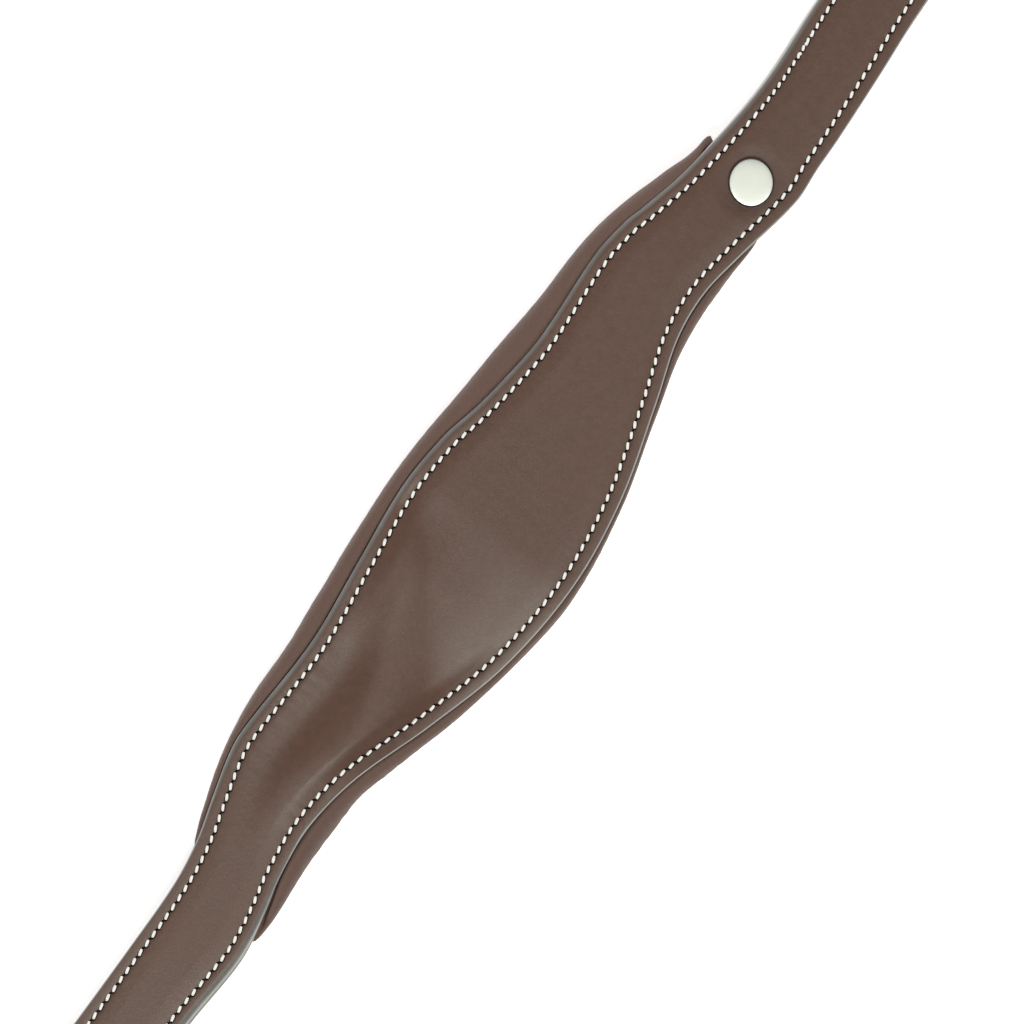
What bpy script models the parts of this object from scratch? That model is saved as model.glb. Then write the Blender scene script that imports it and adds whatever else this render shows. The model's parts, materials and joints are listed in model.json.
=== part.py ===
"""Padded leather halter, laid out on its jaw side with the near crown buckle and the throat snap undone.

Metres, +Z up, +Y towards the poll. The off (right) side is -X and the near (left) side is +X.
The origin is on the surface that it lies on, at the middle of its length and width.
A strap is drawn in its own space: "along" it, "up" from it and "across" it. A lay turns those three
into the halter's frame. Points that say (along, up) are the strap's side view.
"""

import math

import bpy
import bmesh
from mathutils import Matrix, Vector

# Clearance between pieces that touch in the real halter
CLEAR = 0.0003

# How far a cutter runs past what it cuts
CUT_PAST = 0.001

# Leather
STRAP_WIDTH = 0.025
CHIN_WIDTH = 0.019
JAW_WIDTH = 0.020
LAYER = 0.0024
RING_FOLD_WIDTH = 0.020
SIDE_FOLD_WIDTH = 0.0165
FOLD_TAPER = 0.018
EYE_TAPER = 2.3

# Rings
RING_BORE = 0.0225
RING_WIRE = 0.00275
CHIN_RING_BORE = 0.024
CHIN_RING_WIRE = 0.003

# Layout seen from above
CHEEK_OFFSET = 0.112
CHEEK_PITCH = 0.220
NOSE_ANGLE = 18.0
CHIN_ANGLE = -42.0
THROAT_ANGLE = -30.0

# Buckles, their chapes and keepers
BUCKLE_WIRE = 0.0020
BUCKLE_CORNER = 0.0042
BUCKLE_SIDE_PLAY = 0.0012
CROWN_BUCKLE_REACH = 0.030
CHIN_BUCKLE_REACH = 0.024
CROWN_TIP_TO_RING = 0.0088
CHIN_CHAPE = 0.048
TONGUE_WIDTH = 0.0036
TONGUE_THICKNESS = 0.0024
TONGUE_SLOT = 0.0062
TONGUE_WRAP_FROM = 100.0
TONGUE_PAST_BAR = 0.0018
KEEPER_THICKNESS = 0.0019
KEEPER_CORNER = 0.0016
KEEPER_LENGTH = 0.010
KEEPER_SIDE_PLAY = 0.0004
FIXED_KEEPER_AT = 0.0145
CROWN_LOOSE_KEEPER_AT = 0.047
CHIN_LOOSE_KEEPER_AT = 0.0275

# Tongue's rise, as (lean ahead of its wrap in wrap radii, share of the height): up to the billet,
# through the billet, and over to its level part
TONGUE_UNDER = ((0.0, 0.5), (0.1, 1.0))
TONGUE_THROUGH = ((0.3, 0.5), (0.6, 1.0))
TONGUE_OVER = ((1.15, 0.5), (2.1, 0.86), (3.5, 1.0))

# Crown, measured from the middle of its pad; "near" is towards the free end
CROWN_LENGTH = 0.600
CROWN_TOP = 0.0028
CROWN_LINING = 0.0016
LINING_INSET = 0.0005
HOLE_FIRST = 0.198
HOLE_PITCH = 0.022
HOLE_COUNT = 4
BUCKLED_HOLE = 1
HOLE_LENGTH = 0.0082
HOLE_WIDTH = 0.0046
HOLE_FROM_BAR = 0.0048
TIP_LENGTH = 0.016
TIP_SQUARENESS = 2.6
TIP_LEAST_HALF = 0.0015
TIP_STEPS = (0.0, 0.0008, 0.0025, 0.0055, 0.010)

# How far the crown's edges lie outside those of a plain strap, as (along, out) points of a smooth curve;
# the front is the side with the ear cut-outs
FRONT_EDGE = (
    (-0.210, 0.0), (-0.158, 0.0006), (-0.137, 0.0020), (-0.128, 0.0014), (-0.119, -0.0001),
    (-0.110, -0.0021), (-0.094, -0.0036), (-0.076, -0.0010), (-0.052, 0.0071), (-0.026, 0.0142),
    (0.003, 0.0166), (0.030, 0.0133), (0.058, 0.0053), (0.076, -0.0004), (0.090, -0.0018),
    (0.104, 0.0), (0.126, 0.0039), (0.137, 0.0034), (0.147, 0.0032), (0.168, 0.0024),
    (0.187, 0.0010), (0.225, 0.0),
)
REAR_EDGE = (
    (-0.210, 0.0), (-0.150, 0.0), (-0.128, 0.0002), (-0.115, 0.0017), (-0.103, 0.0050),
    (-0.092, 0.0083), (-0.084, 0.0095), (-0.052, 0.0084), (-0.026, 0.0110), (-0.002, 0.0134),
    (0.016, 0.0123), (0.028, 0.0097), (0.040, 0.0079), (0.054, 0.0067), (0.082, 0.0079),
    (0.094, 0.0065), (0.100, 0.0048), (0.116, 0.0011), (0.146, -0.0021), (0.176, -0.0007),
    (0.225, 0.0),
)

# How far the pad's edges lie outside those of a plain strap
PAD_FRONT_EDGE = (
    (-0.130, 0.0034), (-0.118, 0.0034), (-0.104, 0.0024), (-0.090, 0.0026), (-0.067, 0.0062),
    (-0.040, 0.0134), (-0.003, 0.0186), (0.027, 0.0151), (0.055, 0.0075), (0.075, 0.0023),
    (0.095, 0.0010), (0.106, 0.0016), (0.116, 0.0024),
)
PAD_REAR_EDGE = (
    (-0.122, 0.0008), (-0.110, 0.0045), (-0.096, 0.0094), (-0.078, 0.0128), (-0.055, 0.0135),
    (-0.040, 0.0148), (-0.020, 0.0165), (0.003, 0.0175), (0.024, 0.0164), (0.045, 0.0148),
    (0.062, 0.0136), (0.078, 0.0130), (0.090, 0.0118), (0.100, 0.0095), (0.112, 0.0056),
    (0.125, 0.0010),
)

# Pads
PAD_SKIN = 0.0012
PAD_CORNER = 0.0036
PAD_CORNER_SHARE = 0.45
PAD_RUN_OUT = 0.026
PAD_END_DEPTH = 0.0040
PAD_SLANT_RUN = 0.040
CROWN_PAD_FROM = -0.1234
CROWN_PAD_SLANT = -0.42
CROWN_PAD_END_SHARE = 0.86
CROWN_PAD_END_RUN = 0.009
PAD_TO_WASHER = 0.0004

# Stud on the crown
STUD_ALONG = 0.123
STUD_ACROSS = 0.003
STUD_RADIUS = 0.0065
STUD_CAP = 0.0016
STUD_RIM = 0.0004
RIVET_RADIUS = 0.0015
RIVET_HEAD = 0.0027
RIVET_HEAD_THICKNESS = 0.0008
WASHER_RADIUS = 0.0038
WASHER_THICKNESS = 0.0008

# Noseband
NOSEBAND_LENGTH = 0.290
NOSEBAND_MIDDLE_WIDTH = 0.038
NOSEBAND_LEAN = 0.008
NOSEBAND_TURN_BACK = 0.036
NOSEBAND_TWIST_RUN = 0.075
NOSE_PAD_DEPTH = 0.0098
NOSE_PAD_FROM = 0.042
NOSE_PAD_END_WIDTH = 0.030
NOSE_PAD_MIDDLE_WIDTH = 0.047
NOSE_PAD_END_SHARE = 0.62
NOSE_PAD_END_RUN = 0.026

# Chin billet
CHIN_BILLET = 0.0026
CHIN_BILLET_RISE_FROM = 0.0125
CHIN_BILLET_RISE_TO = 0.0245
CHIN_TURN_BACK = 0.021
CHIN_TAIL = 0.0375
CHIN_HOLE_PITCH = 0.017
CHIN_HOLE_COUNT = 3

# Jaw and throat
JAW_LENGTH = 0.134
THROAT_RADIUS = 0.0055
SLOPE_PLAY = 0.00015
THROAT_PLAY_UP = 0.0017
THROAT_PLAY_ALONG = 0.0050
TAB_LAYER = 0.0018
TAB_WIDTH = 0.0150
TAB_LENGTH = 0.030
TAB_START = 0.012
THROAT_FLAT = 0.0030
THROAT_INSET = 0.001
THROAT_ROUND_RUN = 0.014

# Throat strap's way on each side of the jaw strap's loop, as (x, y) from the loop's middle
THROAT_BEND_OFF = ((-0.060, 0.091), (-0.050, 0.059), (-0.042, 0.033), (-0.026, 0.0096))
THROAT_BEND_NEAR = ((0.026, 0.0096), (0.042, 0.0286), (0.0495, 0.0506))
THROAT_DROP_OFF = 0.12
THROAT_DROP_NEAR = 0.06

# Snap
SNAP_FROM_LOOP = (0.0525, 0.1006)
SNAP_WIRE = 0.0019
SNAP_EYE_HALF = 0.0108
SNAP_EYE_LENGTH = 0.0125
SNAP_BARREL_RADIUS = 0.0050
SNAP_BARREL_LENGTH = 0.030
SNAP_TAIL_TAPER = 0.0012
SNAP_TAIL_LENGTH = 0.004
SNAP_NOSE_TAPER = 0.0010
SNAP_NOSE_LENGTH = 0.003
SNAP_BORE = 0.0031
SNAP_END_WALL = 0.0020
SWIVEL_RADIUS = 0.0014
SWIVEL_HEAD = 0.0026
SWIVEL_HEAD_LENGTH = 0.0012
BOLT_RADIUS = 0.0021
BOLT_CHAMFER = 0.0006
BOLT_PISTON = 0.0028
BOLT_PISTON_LENGTH = 0.0020
BOLT_TRAVEL = 0.0110
HOOK_WIRE = 0.0026
HOOK_MOUTH = 0.0125
HOOK_HALF_WIDTH = 0.0072
HOOK_NOSE_DEPTH = 0.00446
HOOK_SIDE_RISE = 0.0035
HOOK_SWEEP = 167.4
KNOB_SETBACK = 0.0012
KNOB_RADIUS = 0.0017
KNOB_HEAD = 0.0025
KNOB_NECK = 0.0010
KNOB_FLARE = 0.0012
KNOB_RISE = 0.0048
SPRING_WIRE = 0.0004
SPRING_TURNS = 5

# One side of the snap eye's outline, as shares of its half width and of its length
SNAP_EYE_SIDE = ((0.81, 0.0), (0.94, 0.05), (1.0, 0.16), (0.89, 0.55), (0.42, 0.94))

# Hook's way out of the barrel, as (out, along) from the barrel's end
HOOK_ROOT = ((0.0, -0.008), (0.001, -0.004), (0.0045, -0.001))

# Fineness of the faceted shapes
RING_STEPS = 32
WIRE_SIDES = 8
STUD_STEPS = 24
WASHER_STEPS = 16
BARREL_STEPS = 16
PIN_STEPS = 12
SPRING_SIDES = 5
SPRING_TURN_STEPS = 10
THROAT_SIDES = 10
HOLE_END_STEPS = 7
EYE_STEPS = 5
EYE_LEAD_STEPS = 3
WRAP_STEPS = 10
BILLET_RISE_STEPS = 6
HOOK_STEPS = 7
SHARP_ANGLE = 35.0
SAME_POINT = 1e-6
CORNER_STEPS = 2
PAD_STATIONS = 28
PAD_END_STEPS = (0.0042, 0.0080)
PAD_EVEN_FROM = 0.0135
NOSEBAND_STATIONS = 45
CROWN_STATION = 0.0125
ARCH_STEPS = 240
THROAT_STATION_SHARE = 1.3
ROUTE_STEPS = 25


def smooth(share):
    """Ease from 0 to 1 as share goes from 0 to 1."""
    share = min(max(share, 0.0), 1.0)
    return share * share * (3.0 - 2.0 * share)


def mix(low, high, share):
    """Value between low and high."""
    return low + (high - low) * share


def through(points, along):
    """Read a smooth curve that passes through (along, across) points and is level past its ends."""
    if along <= points[0][0]:
        return points[0][1]
    if along >= points[-1][0]:
        return points[-1][1]
    slopes = [0.0]
    for before, after in zip(points, points[2:]):
        slopes.append((after[1] - before[1]) / (after[0] - before[0]))
    slopes.append(0.0)
    index = 0
    while along > points[index + 1][0]:
        index += 1
    start, end = points[index], points[index + 1]
    span = end[0] - start[0]
    t = (along - start[0]) / span
    value = (2 * t ** 3 - 3 * t ** 2 + 1) * start[1] + (3 * t ** 2 - 2 * t ** 3) * end[1]
    value += (t ** 3 - 2 * t ** 2 + t) * span * slopes[index]
    value += (t ** 3 - t ** 2) * span * slopes[index + 1]
    return value


def spread(start, end, count):
    """Evenly spaced values, both ends included."""
    return [mix(start, end, i / (count - 1)) for i in range(count)]


# Materials

def make_material(name, colour, roughness, metallic=0.0):
    """Plain shader in the piece's own colour."""
    material = bpy.data.materials.new(name)
    material.use_nodes = True
    shader = material.node_tree.nodes["Principled BSDF"]
    shader.inputs["Base Color"].default_value = (*colour, 1.0)
    shader.inputs["Roughness"].default_value = roughness
    shader.inputs["Metallic"].default_value = metallic
    return material


# Meshes

def make_object(name, bm, material):
    """Turn a bmesh into a named object whose faces point outwards."""
    bmesh.ops.remove_doubles(bm, verts=bm.verts, dist=SAME_POINT)
    bmesh.ops.recalc_face_normals(bm, faces=bm.faces)
    mesh = bpy.data.meshes.new(name)
    bm.to_mesh(mesh)
    bm.free()
    mesh.materials.append(material)
    mesh.shade_smooth()
    mesh.set_sharp_from_angle(angle=math.radians(SHARP_ANGLE))
    obj = bpy.data.objects.new(name, mesh)
    bpy.context.scene.collection.objects.link(obj)
    return obj


def add_loft(bm, sections, closed):
    """Skin a row of closed sections; a closed row meets its own start, an open one gets end caps."""
    rows = [[bm.verts.new(point) for point in section] for section in sections]
    pairs = list(zip(rows, rows[1:]))
    if closed:
        pairs.append((rows[-1], rows[0]))
    for row, following in pairs:
        for i in range(len(row)):
            j = (i + 1) % len(row)
            bm.faces.new((row[i], row[j], following[j], following[i]))
    if not closed:
        bm.faces.new(rows[0])
        bm.faces.new(rows[-1])


def loft(name, sections, material, closed=False):
    """One lofted solid as an object."""
    bm = bmesh.new()
    add_loft(bm, sections, closed)
    return make_object(name, bm, material)


def turned(name, profile, base, axis, steps, material):
    """Solid of revolution: profile is a closed outline of (radius, height) points about the axis."""
    axis = Vector(axis).normalized()
    first = axis.orthogonal().normalized()
    second = axis.cross(first)
    sections = []
    for i in range(steps):
        turn = math.tau * i / steps
        out = first * math.cos(turn) + second * math.sin(turn)
        sections.append([Vector(base) + out * radius + axis * height for radius, height in profile])
    return loft(name, sections, material, closed=True)


def wire_sections(points, radii, up, closed=False, sides=WIRE_SIDES):
    """Sections of a wire along points; radii gives (half width, half height) at a point's number."""
    up = Vector(up)
    sections = []
    count = len(points)
    for i, point in enumerate(points):
        before = points[i - 1] if closed or i else points[0]
        after = points[(i + 1) % count] if closed or i < count - 1 else points[-1]
        heading = (after - before).normalized()
        side = heading.cross(up).normalized()
        rise = side.cross(heading)
        wide, high = radii(i)
        ring = []
        for k in range(sides):
            turn = math.tau * (k + 0.5) / sides
            ring.append(point + side * (wide * math.cos(turn)) + rise * (high * math.sin(turn)))
        sections.append(ring)
    return sections


def wire(name, points, radius, up, material, closed=False, sides=WIRE_SIDES):
    """Round wire through the points."""
    sections = wire_sections(points, lambda i: (radius, radius), up, closed, sides)
    return loft(name, sections, material, closed)


def rounded_rectangle(half_wide, half_high, corner):
    """Closed outline of a rectangle with round corners, centred on the origin."""
    points = []
    for quarter, (x, y) in enumerate(((1, 1), (-1, 1), (-1, -1), (1, -1))):
        for step in range(CORNER_STEPS + 2):
            turn = math.radians(90.0 * (quarter + step / (CORNER_STEPS + 1)))
            points.append((
                x * (half_wide - corner) + corner * math.cos(turn),
                y * (half_high - corner) + corner * math.sin(turn),
            ))
    return points


def cut(target, cutter, operation="DIFFERENCE"):
    """Boolean modifier; the cutter stays as a hidden guide."""
    modifier = target.modifiers.new(cutter.name, "BOOLEAN")
    modifier.operation = operation
    modifier.solver = "EXACT"
    modifier.object = cutter
    cutter.hide_render = True
    cutter.display_type = "WIRE"


# Straps

def straight_lay(origin, heading_deg, pitch_deg=0.0):
    """Lay for a flat strap that runs from origin along a heading seen from above."""
    turn = Matrix.Rotation(math.radians(heading_deg), 3, "Z")
    turn = turn @ Matrix.Rotation(math.radians(-pitch_deg), 3, "Y")
    along_axis = turn @ Vector((1, 0, 0))
    across_axis = turn @ Vector((0, -1, 0))
    up_axis = turn @ Vector((0, 0, 1))
    start = Vector(origin)

    def lay(along, up, across):
        return start + along_axis * along + up_axis * up + across_axis * across

    return lay


def mitred(path, closed, offset):
    """Offset an (along, up) path to its left by a distance, mitred at its corners."""
    moved = []
    count = len(path)
    for i, point in enumerate(path):
        here = Vector(point)
        before = Vector(path[i - 1]) if closed or i else None
        after = Vector(path[(i + 1) % count]) if closed or i < count - 1 else None
        normals = []
        for start, end in ((before, here), (here, after)):
            if start is not None and end is not None:
                run = (end - start).normalized()
                normals.append(Vector((-run.y, run.x)))
        normal = sum(normals, Vector((0.0, 0.0))).normalized()
        moved.append(here + normal * (offset / normal.dot(normals[0])))
    return moved


def ribbon(name, path, lay, edges, thickness, material, closed=False):
    """Strap of even thickness along an (along, up) path; edges gives its two sides at a point along."""
    left = mitred(path, closed, thickness / 2)
    right = mitred(path, closed, -thickness / 2)
    sections = []
    for middle, outer, inner in zip(path, left, right):
        low, high = edges(middle[0])
        sections.append([lay(*outer, low), lay(*outer, high), lay(*inner, high), lay(*inner, low)])
    return loft(name, sections, material, closed)


def eye_path(radius, half_gap, stretch=0.0):
    """Path of a strap that comes in below, turns round behind an eye at 0 and goes out above."""
    flat = EYE_TAPER * radius
    reach = math.hypot(flat, half_gap)
    lift = math.atan2(half_gap, flat) + math.acos(radius / reach)
    upper = [(stretch + flat, half_gap)]
    for turn in spread(lift, math.pi / 2, EYE_LEAD_STEPS):
        upper.append((stretch + radius * math.cos(turn), radius * math.sin(turn)))
    far_turns = spread(math.pi / 2, math.pi, EYE_STEPS)
    for turn in far_turns if stretch else far_turns[1:]:
        upper.append((-stretch + radius * math.cos(turn), radius * math.sin(turn)))
    lower = [(along, -up) for along, up in upper[:-1]]
    return lower + upper[::-1]


def between(start, end, count):
    """Points between two (along, up) points, ends left out."""
    inner = spread(0.0, 1.0, count + 2)[1:-1]
    return [(mix(start[0], end[0], share), mix(start[1], end[1], share)) for share in inner]


def link_path(length, first_eye, second_eye):
    """Closed path of a strap folded round two eyes that are a length apart."""
    far = [(length - along, up) for along, up in second_eye[::-1]]
    top = between(first_eye[-1], far[0], 3)
    bottom = between(far[-1], first_eye[0], 3)
    return first_eye + top + far + bottom


def even_edges(length, start_width, full_width, end_width):
    """Sides of a strap that narrows to its folds."""
    def edges(along):
        from_start = smooth(along / FOLD_TAPER)
        from_end = smooth((length - along) / FOLD_TAPER)
        width = mix(start_width, full_width, from_start)
        width = min(width, mix(end_width, full_width, from_end))
        return -width / 2, width / 2
    return edges


def bow(ring_radius, width):
    """How far a ring's wire bows across a fold of a width."""
    return ring_radius - math.sqrt(ring_radius ** 2 - (width / 2) ** 2)


def faceted(radius):
    """Radius at the corners of a faceted round whose flats lie at a radius."""
    return radius / math.cos(math.radians(45.0 / (EYE_STEPS - 1)))


def eye_radius(hollow, layer):
    """Middle of a leather layer turned round a hollow."""
    return faceted(hollow + layer / 2)


def polar(centre, radius, angle_deg, height):
    """Point at a height, off a centre seen from above."""
    turn = math.radians(angle_deg)
    return Vector((centre[0] + radius * math.cos(turn), centre[1] + radius * math.sin(turn), height))


# Sizes worked out from the ones above
RING_MEAN = RING_BORE + RING_WIRE
CHIN_RING_MEAN = CHIN_RING_BORE + CHIN_RING_WIRE
HALF_GAP = (LAYER + CLEAR) / 2


def ring_hollow(mean, wire_radius, width):
    """Radius that clears a ring's wire all round a fold of a width."""
    slant = math.cos(math.asin(width / 2 / mean))
    return bow(mean, width) / 2 + wire_radius / slant + CLEAR


def fold_reach(mean, width):
    """Distance of a fold's axis from the ring's centre."""
    return mean - bow(mean, width) / 2


RING_HOLLOW = ring_hollow(RING_MEAN, RING_WIRE, RING_FOLD_WIDTH)
SIDE_HOLLOW = ring_hollow(RING_MEAN, RING_WIRE, SIDE_FOLD_WIDTH)
CHIN_HOLLOW = ring_hollow(CHIN_RING_MEAN, CHIN_RING_WIRE, SIDE_FOLD_WIDTH)
BAR_HOLLOW = BUCKLE_WIRE + CLEAR
RING_REACH = fold_reach(RING_MEAN, RING_FOLD_WIDTH)
SIDE_REACH = fold_reach(RING_MEAN, SIDE_FOLD_WIDTH)
CHIN_REACH = fold_reach(CHIN_RING_MEAN, SIDE_FOLD_WIDTH)
RING_LEVEL = faceted(max(RING_HOLLOW, SIDE_HOLLOW, CHIN_HOLLOW) + LAYER) + SLOPE_PLAY
BILLET_LEVEL = faceted(BAR_HOLLOW + LAYER) + CLEAR
CHIN_RING_Y = -CHEEK_OFFSET * math.tan(math.radians(-CHIN_ANGLE))
CHIN_RUN = CHEEK_OFFSET / math.cos(math.radians(CHIN_ANGLE)) - SIDE_REACH - CHIN_REACH
CROWN_STACK = CROWN_LINING + CLEAR + CROWN_TOP
BUCKLED_AT = HOLE_FIRST + BUCKLED_HOLE * HOLE_PITCH
CROWN_CHAPE = CROWN_LENGTH / 2 - BUCKLED_AT - HOLE_FROM_BAR + CROWN_TIP_TO_RING
CROWN_BAR_Y = CHEEK_PITCH + RING_REACH + CROWN_CHAPE
CROWN_MIDDLE_Y = CROWN_BAR_Y + HOLE_FROM_BAR + BUCKLED_AT
PAD_DEPTH = RING_LEVEL + BILLET_LEVEL - CLEAR
PAD_GAP = PAD_SKIN + CLEAR
WASHER_ROOM = (WASHER_RADIUS + PAD_TO_WASHER) * math.hypot(1.0, CROWN_PAD_SLANT)
CROWN_PAD_TO = STUD_ALONG - CROWN_PAD_SLANT * STUD_ACROSS - WASHER_ROOM
LOW_END_Y = CHIN_RING_Y - CHIN_RING_MEAN - CHIN_RING_WIRE
HIGH_END_Y = CROWN_MIDDLE_Y + CROWN_LENGTH / 2
OFF_EDGE_X = -CHEEK_OFFSET - STRAP_WIDTH / 2 - max(out for along, out in PAD_REAR_EDGE)
NEAR_EDGE_X = CHEEK_OFFSET + RING_MEAN + RING_WIRE
CENTRE = Vector(((OFF_EDGE_X + NEAR_EDGE_X) / 2, (LOW_END_Y + HIGH_END_Y) / 2, 0.0))


# Joints and bodies

def pivot(name, place, parent):
    """Empty at a joint's axis, or at the halter's own origin."""
    empty = bpy.data.objects.new(name, None)
    empty.empty_display_size = 0.02
    bpy.context.scene.collection.objects.link(empty)
    empty.parent = parent
    held_at = parent["place"] if parent else (0.0, 0.0, 0.0)
    empty["place"] = tuple(place)
    empty.location = Vector(place) - Vector(held_at)
    return empty


def carry(holder, *pieces):
    """Hang pieces on an empty, with their origins on it."""
    for piece in pieces:
        piece.data.transform(Matrix.Translation(-Vector(holder["place"])))
        piece.parent = holder


# Hardware

def ring(name, centre, mean, wire_radius, material):
    """Ring lying flat."""
    points = [polar(centre, mean, 360.0 * i / RING_STEPS, RING_LEVEL) for i in range(RING_STEPS)]
    return wire(name, points, wire_radius, (0, 0, 1), material, closed=True)


def buckle_frame(name, lay, bar_at, reach, strap_width, stack, material):
    """Heel-bar buckle: its bar lies in the chape's fold and its far end arches over the billet."""
    half_wide = strap_width / 2 + BUCKLE_SIDE_PLAY + BUCKLE_WIRE
    rise = BILLET_LEVEL + stack + CLEAR + BUCKLE_WIRE
    slant = math.hypot(reach, rise)
    along_share, up_share = reach / slant, rise / slant
    points = []
    for across, run in rounded_rectangle(half_wide, slant / 2, BUCKLE_CORNER):
        run += slant / 2
        points.append(lay(bar_at + run * along_share, run * up_share, across))
    plane = lay(-up_share, along_share, 0.0) - lay(0.0, 0.0, 0.0)
    return wire(name, points, BUCKLE_WIRE, plane, material, closed=True)


def tongue(name, lay, bar_at, reach, stack, material):
    """Buckle tongue: wrapped round the bar, up through the billet's hole, resting on the far bar."""
    wrap = BAR_HOLLOW + TONGUE_THICKNESS / 2
    top = BILLET_LEVEL + stack + CLEAR + 2 * BUCKLE_WIRE + CLEAR + TONGUE_THICKNESS / 2
    under, over = BILLET_LEVEL, BILLET_LEVEL + stack
    path = []
    for turn in spread(math.radians(TONGUE_WRAP_FROM), math.tau, WRAP_STEPS):
        path.append((wrap * math.cos(turn), wrap * math.sin(turn)))
    rises = ((0.0, under, TONGUE_UNDER), (under, over, TONGUE_THROUGH), (over, top, TONGUE_OVER))
    for low, high, rise in rises:
        path += [(wrap * (1.0 + lean), mix(low, high, share)) for lean, share in rise]
    path.append((reach + TONGUE_PAST_BAR, top))
    path = [(bar_at + along, up) for along, up in path]
    half = TONGUE_WIDTH / 2
    return ribbon(name, path, lay, lambda along: (-half, half), TONGUE_THICKNESS, material)


def keeper(name, lay, at, strap_width, stack, material):
    """Leather loop round a chape and the billet above it."""
    bottom = -HALF_GAP - LAYER / 2 - CLEAR - KEEPER_THICKNESS / 2
    top = BILLET_LEVEL + stack + CLEAR + KEEPER_THICKNESS / 2
    half_wide = strap_width / 2 + KEEPER_SIDE_PLAY + KEEPER_THICKNESS / 2
    half_high = (top - bottom) / 2
    sections = []
    outlines = []
    for growth in (KEEPER_THICKNESS / 2, -KEEPER_THICKNESS / 2):
        corner = KEEPER_CORNER + growth
        outlines.append(rounded_rectangle(half_wide + growth, half_high + growth, corner))
    for outer, inner in zip(*outlines):
        section = []
        for (across, up), along in ((outer, 0.0), (outer, 1.0), (inner, 1.0), (inner, 0.0)):
            height = up + (top + bottom) / 2
            section.append(lay(at + (along - 0.5) * KEEPER_LENGTH, height, across))
        sections.append(section)
    return loft(name, sections, material, closed=True)


def chape(name, lay, length, ring_hollow_radius, ring_width, strap_width, material):
    """Short strap folded round a ring and round a buckle's bar, slotted for the tongue."""
    bar_width = strap_width - 2 * (BUCKLE_CORNER - BUCKLE_SIDE_PLAY - BUCKLE_WIRE) - 4 * CLEAR
    ring_eye = eye_path(eye_radius(ring_hollow_radius, LAYER), HALF_GAP)
    bar_eye = eye_path(eye_radius(BAR_HOLLOW, LAYER), HALF_GAP)
    path = link_path(length, ring_eye, bar_eye)
    edges = even_edges(length, ring_width, strap_width, min(bar_width, strap_width))
    strap = ribbon(name, path, lay, edges, LAYER, material, closed=True)
    reach = BAR_HOLLOW + LAYER + TONGUE_THICKNESS
    corners = []
    for along in (length - reach, length + reach):
        outline = []
        for across, up in ((-1, -1), (1, -1), (1, 1), (-1, 1)):
            outline.append(lay(along, up * reach, across * TONGUE_SLOT / 2))
        corners.append(outline)
    cutter = loft(name + "_slot", corners, material)
    cut(strap, cutter)
    return strap, cutter


def oblong_cutter(name, lay, places, low, high, length, width, material):
    """Cutter for a row of oblong holes at (along, across) places."""
    bm = bmesh.new()
    for along, across in places:
        outline = []
        for end in (1, -1):
            for turn in spread(-math.pi / 2, math.pi / 2, HOLE_END_STEPS):
                out = end * ((length - width) / 2 + width / 2 * math.cos(turn))
                outline.append((along + out, across + end * width / 2 * math.sin(turn)))
        sections = [[lay(a, up, c) for a, c in outline] for up in (low, high)]
        add_loft(bm, sections, closed=False)
    return make_object(name, bm, material)


# Pads

def pad_outline(low, high, bottom, top, corner):
    """Section of a pad, from its top on one side, round below, to its top on the other side."""
    corner = min(corner, PAD_CORNER_SHARE * (high - low), PAD_CORNER_SHARE * (top - bottom))
    turns = spread(0.0, math.pi / 2, CORNER_STEPS + 1)
    points = []
    for turn in reversed(turns):
        points.append((high - corner + corner * math.cos(turn), top - corner + corner * math.sin(turn)))
    for turn in turns:
        points.append((high - corner + corner * math.cos(turn), bottom + corner - corner * math.sin(turn)))
    points += [(low + high - across, up) for across, up in reversed(points)]
    return points


def pad_section(along, span, sides, depth, ends, inset):
    """Section of a pad at a place along it, inset from its outside; its ends may run aslant."""
    end_share, end_run, slant = ends
    to_end = max(min(along - span[0], span[1] - along), 0.0)
    ease = smooth(to_end / PAD_RUN_OUT)
    rounding = math.sqrt(1.0 - (1.0 - min(to_end / end_run, 1.0)) ** 2)
    width_share = mix(end_share, 1.0, rounding)
    lean = slant * (1.0 - smooth(to_end / PAD_SLANT_RUN))
    rear, front = sides(along)
    low = sides(along + lean * rear)[0] * width_share + inset
    high = sides(along + lean * front)[1] * width_share - inset
    bottom = -mix(PAD_END_DEPTH, depth, ease) + inset
    outline = pad_outline(low, high, bottom, -inset, PAD_CORNER - inset)
    return [(along + lean * across, up, across) for across, up in outline]


def pad_stations(start, end):
    """Places along a pad, closer together at its ends; the foam runs from the second to the last but one."""
    steps = (0.0, PAD_GAP, *PAD_END_STEPS)
    middle = spread(start + PAD_EVEN_FROM, end - PAD_EVEN_FROM, PAD_STATIONS)
    return [start + step for step in steps] + middle + [end - step for step in reversed(steps)]


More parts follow.
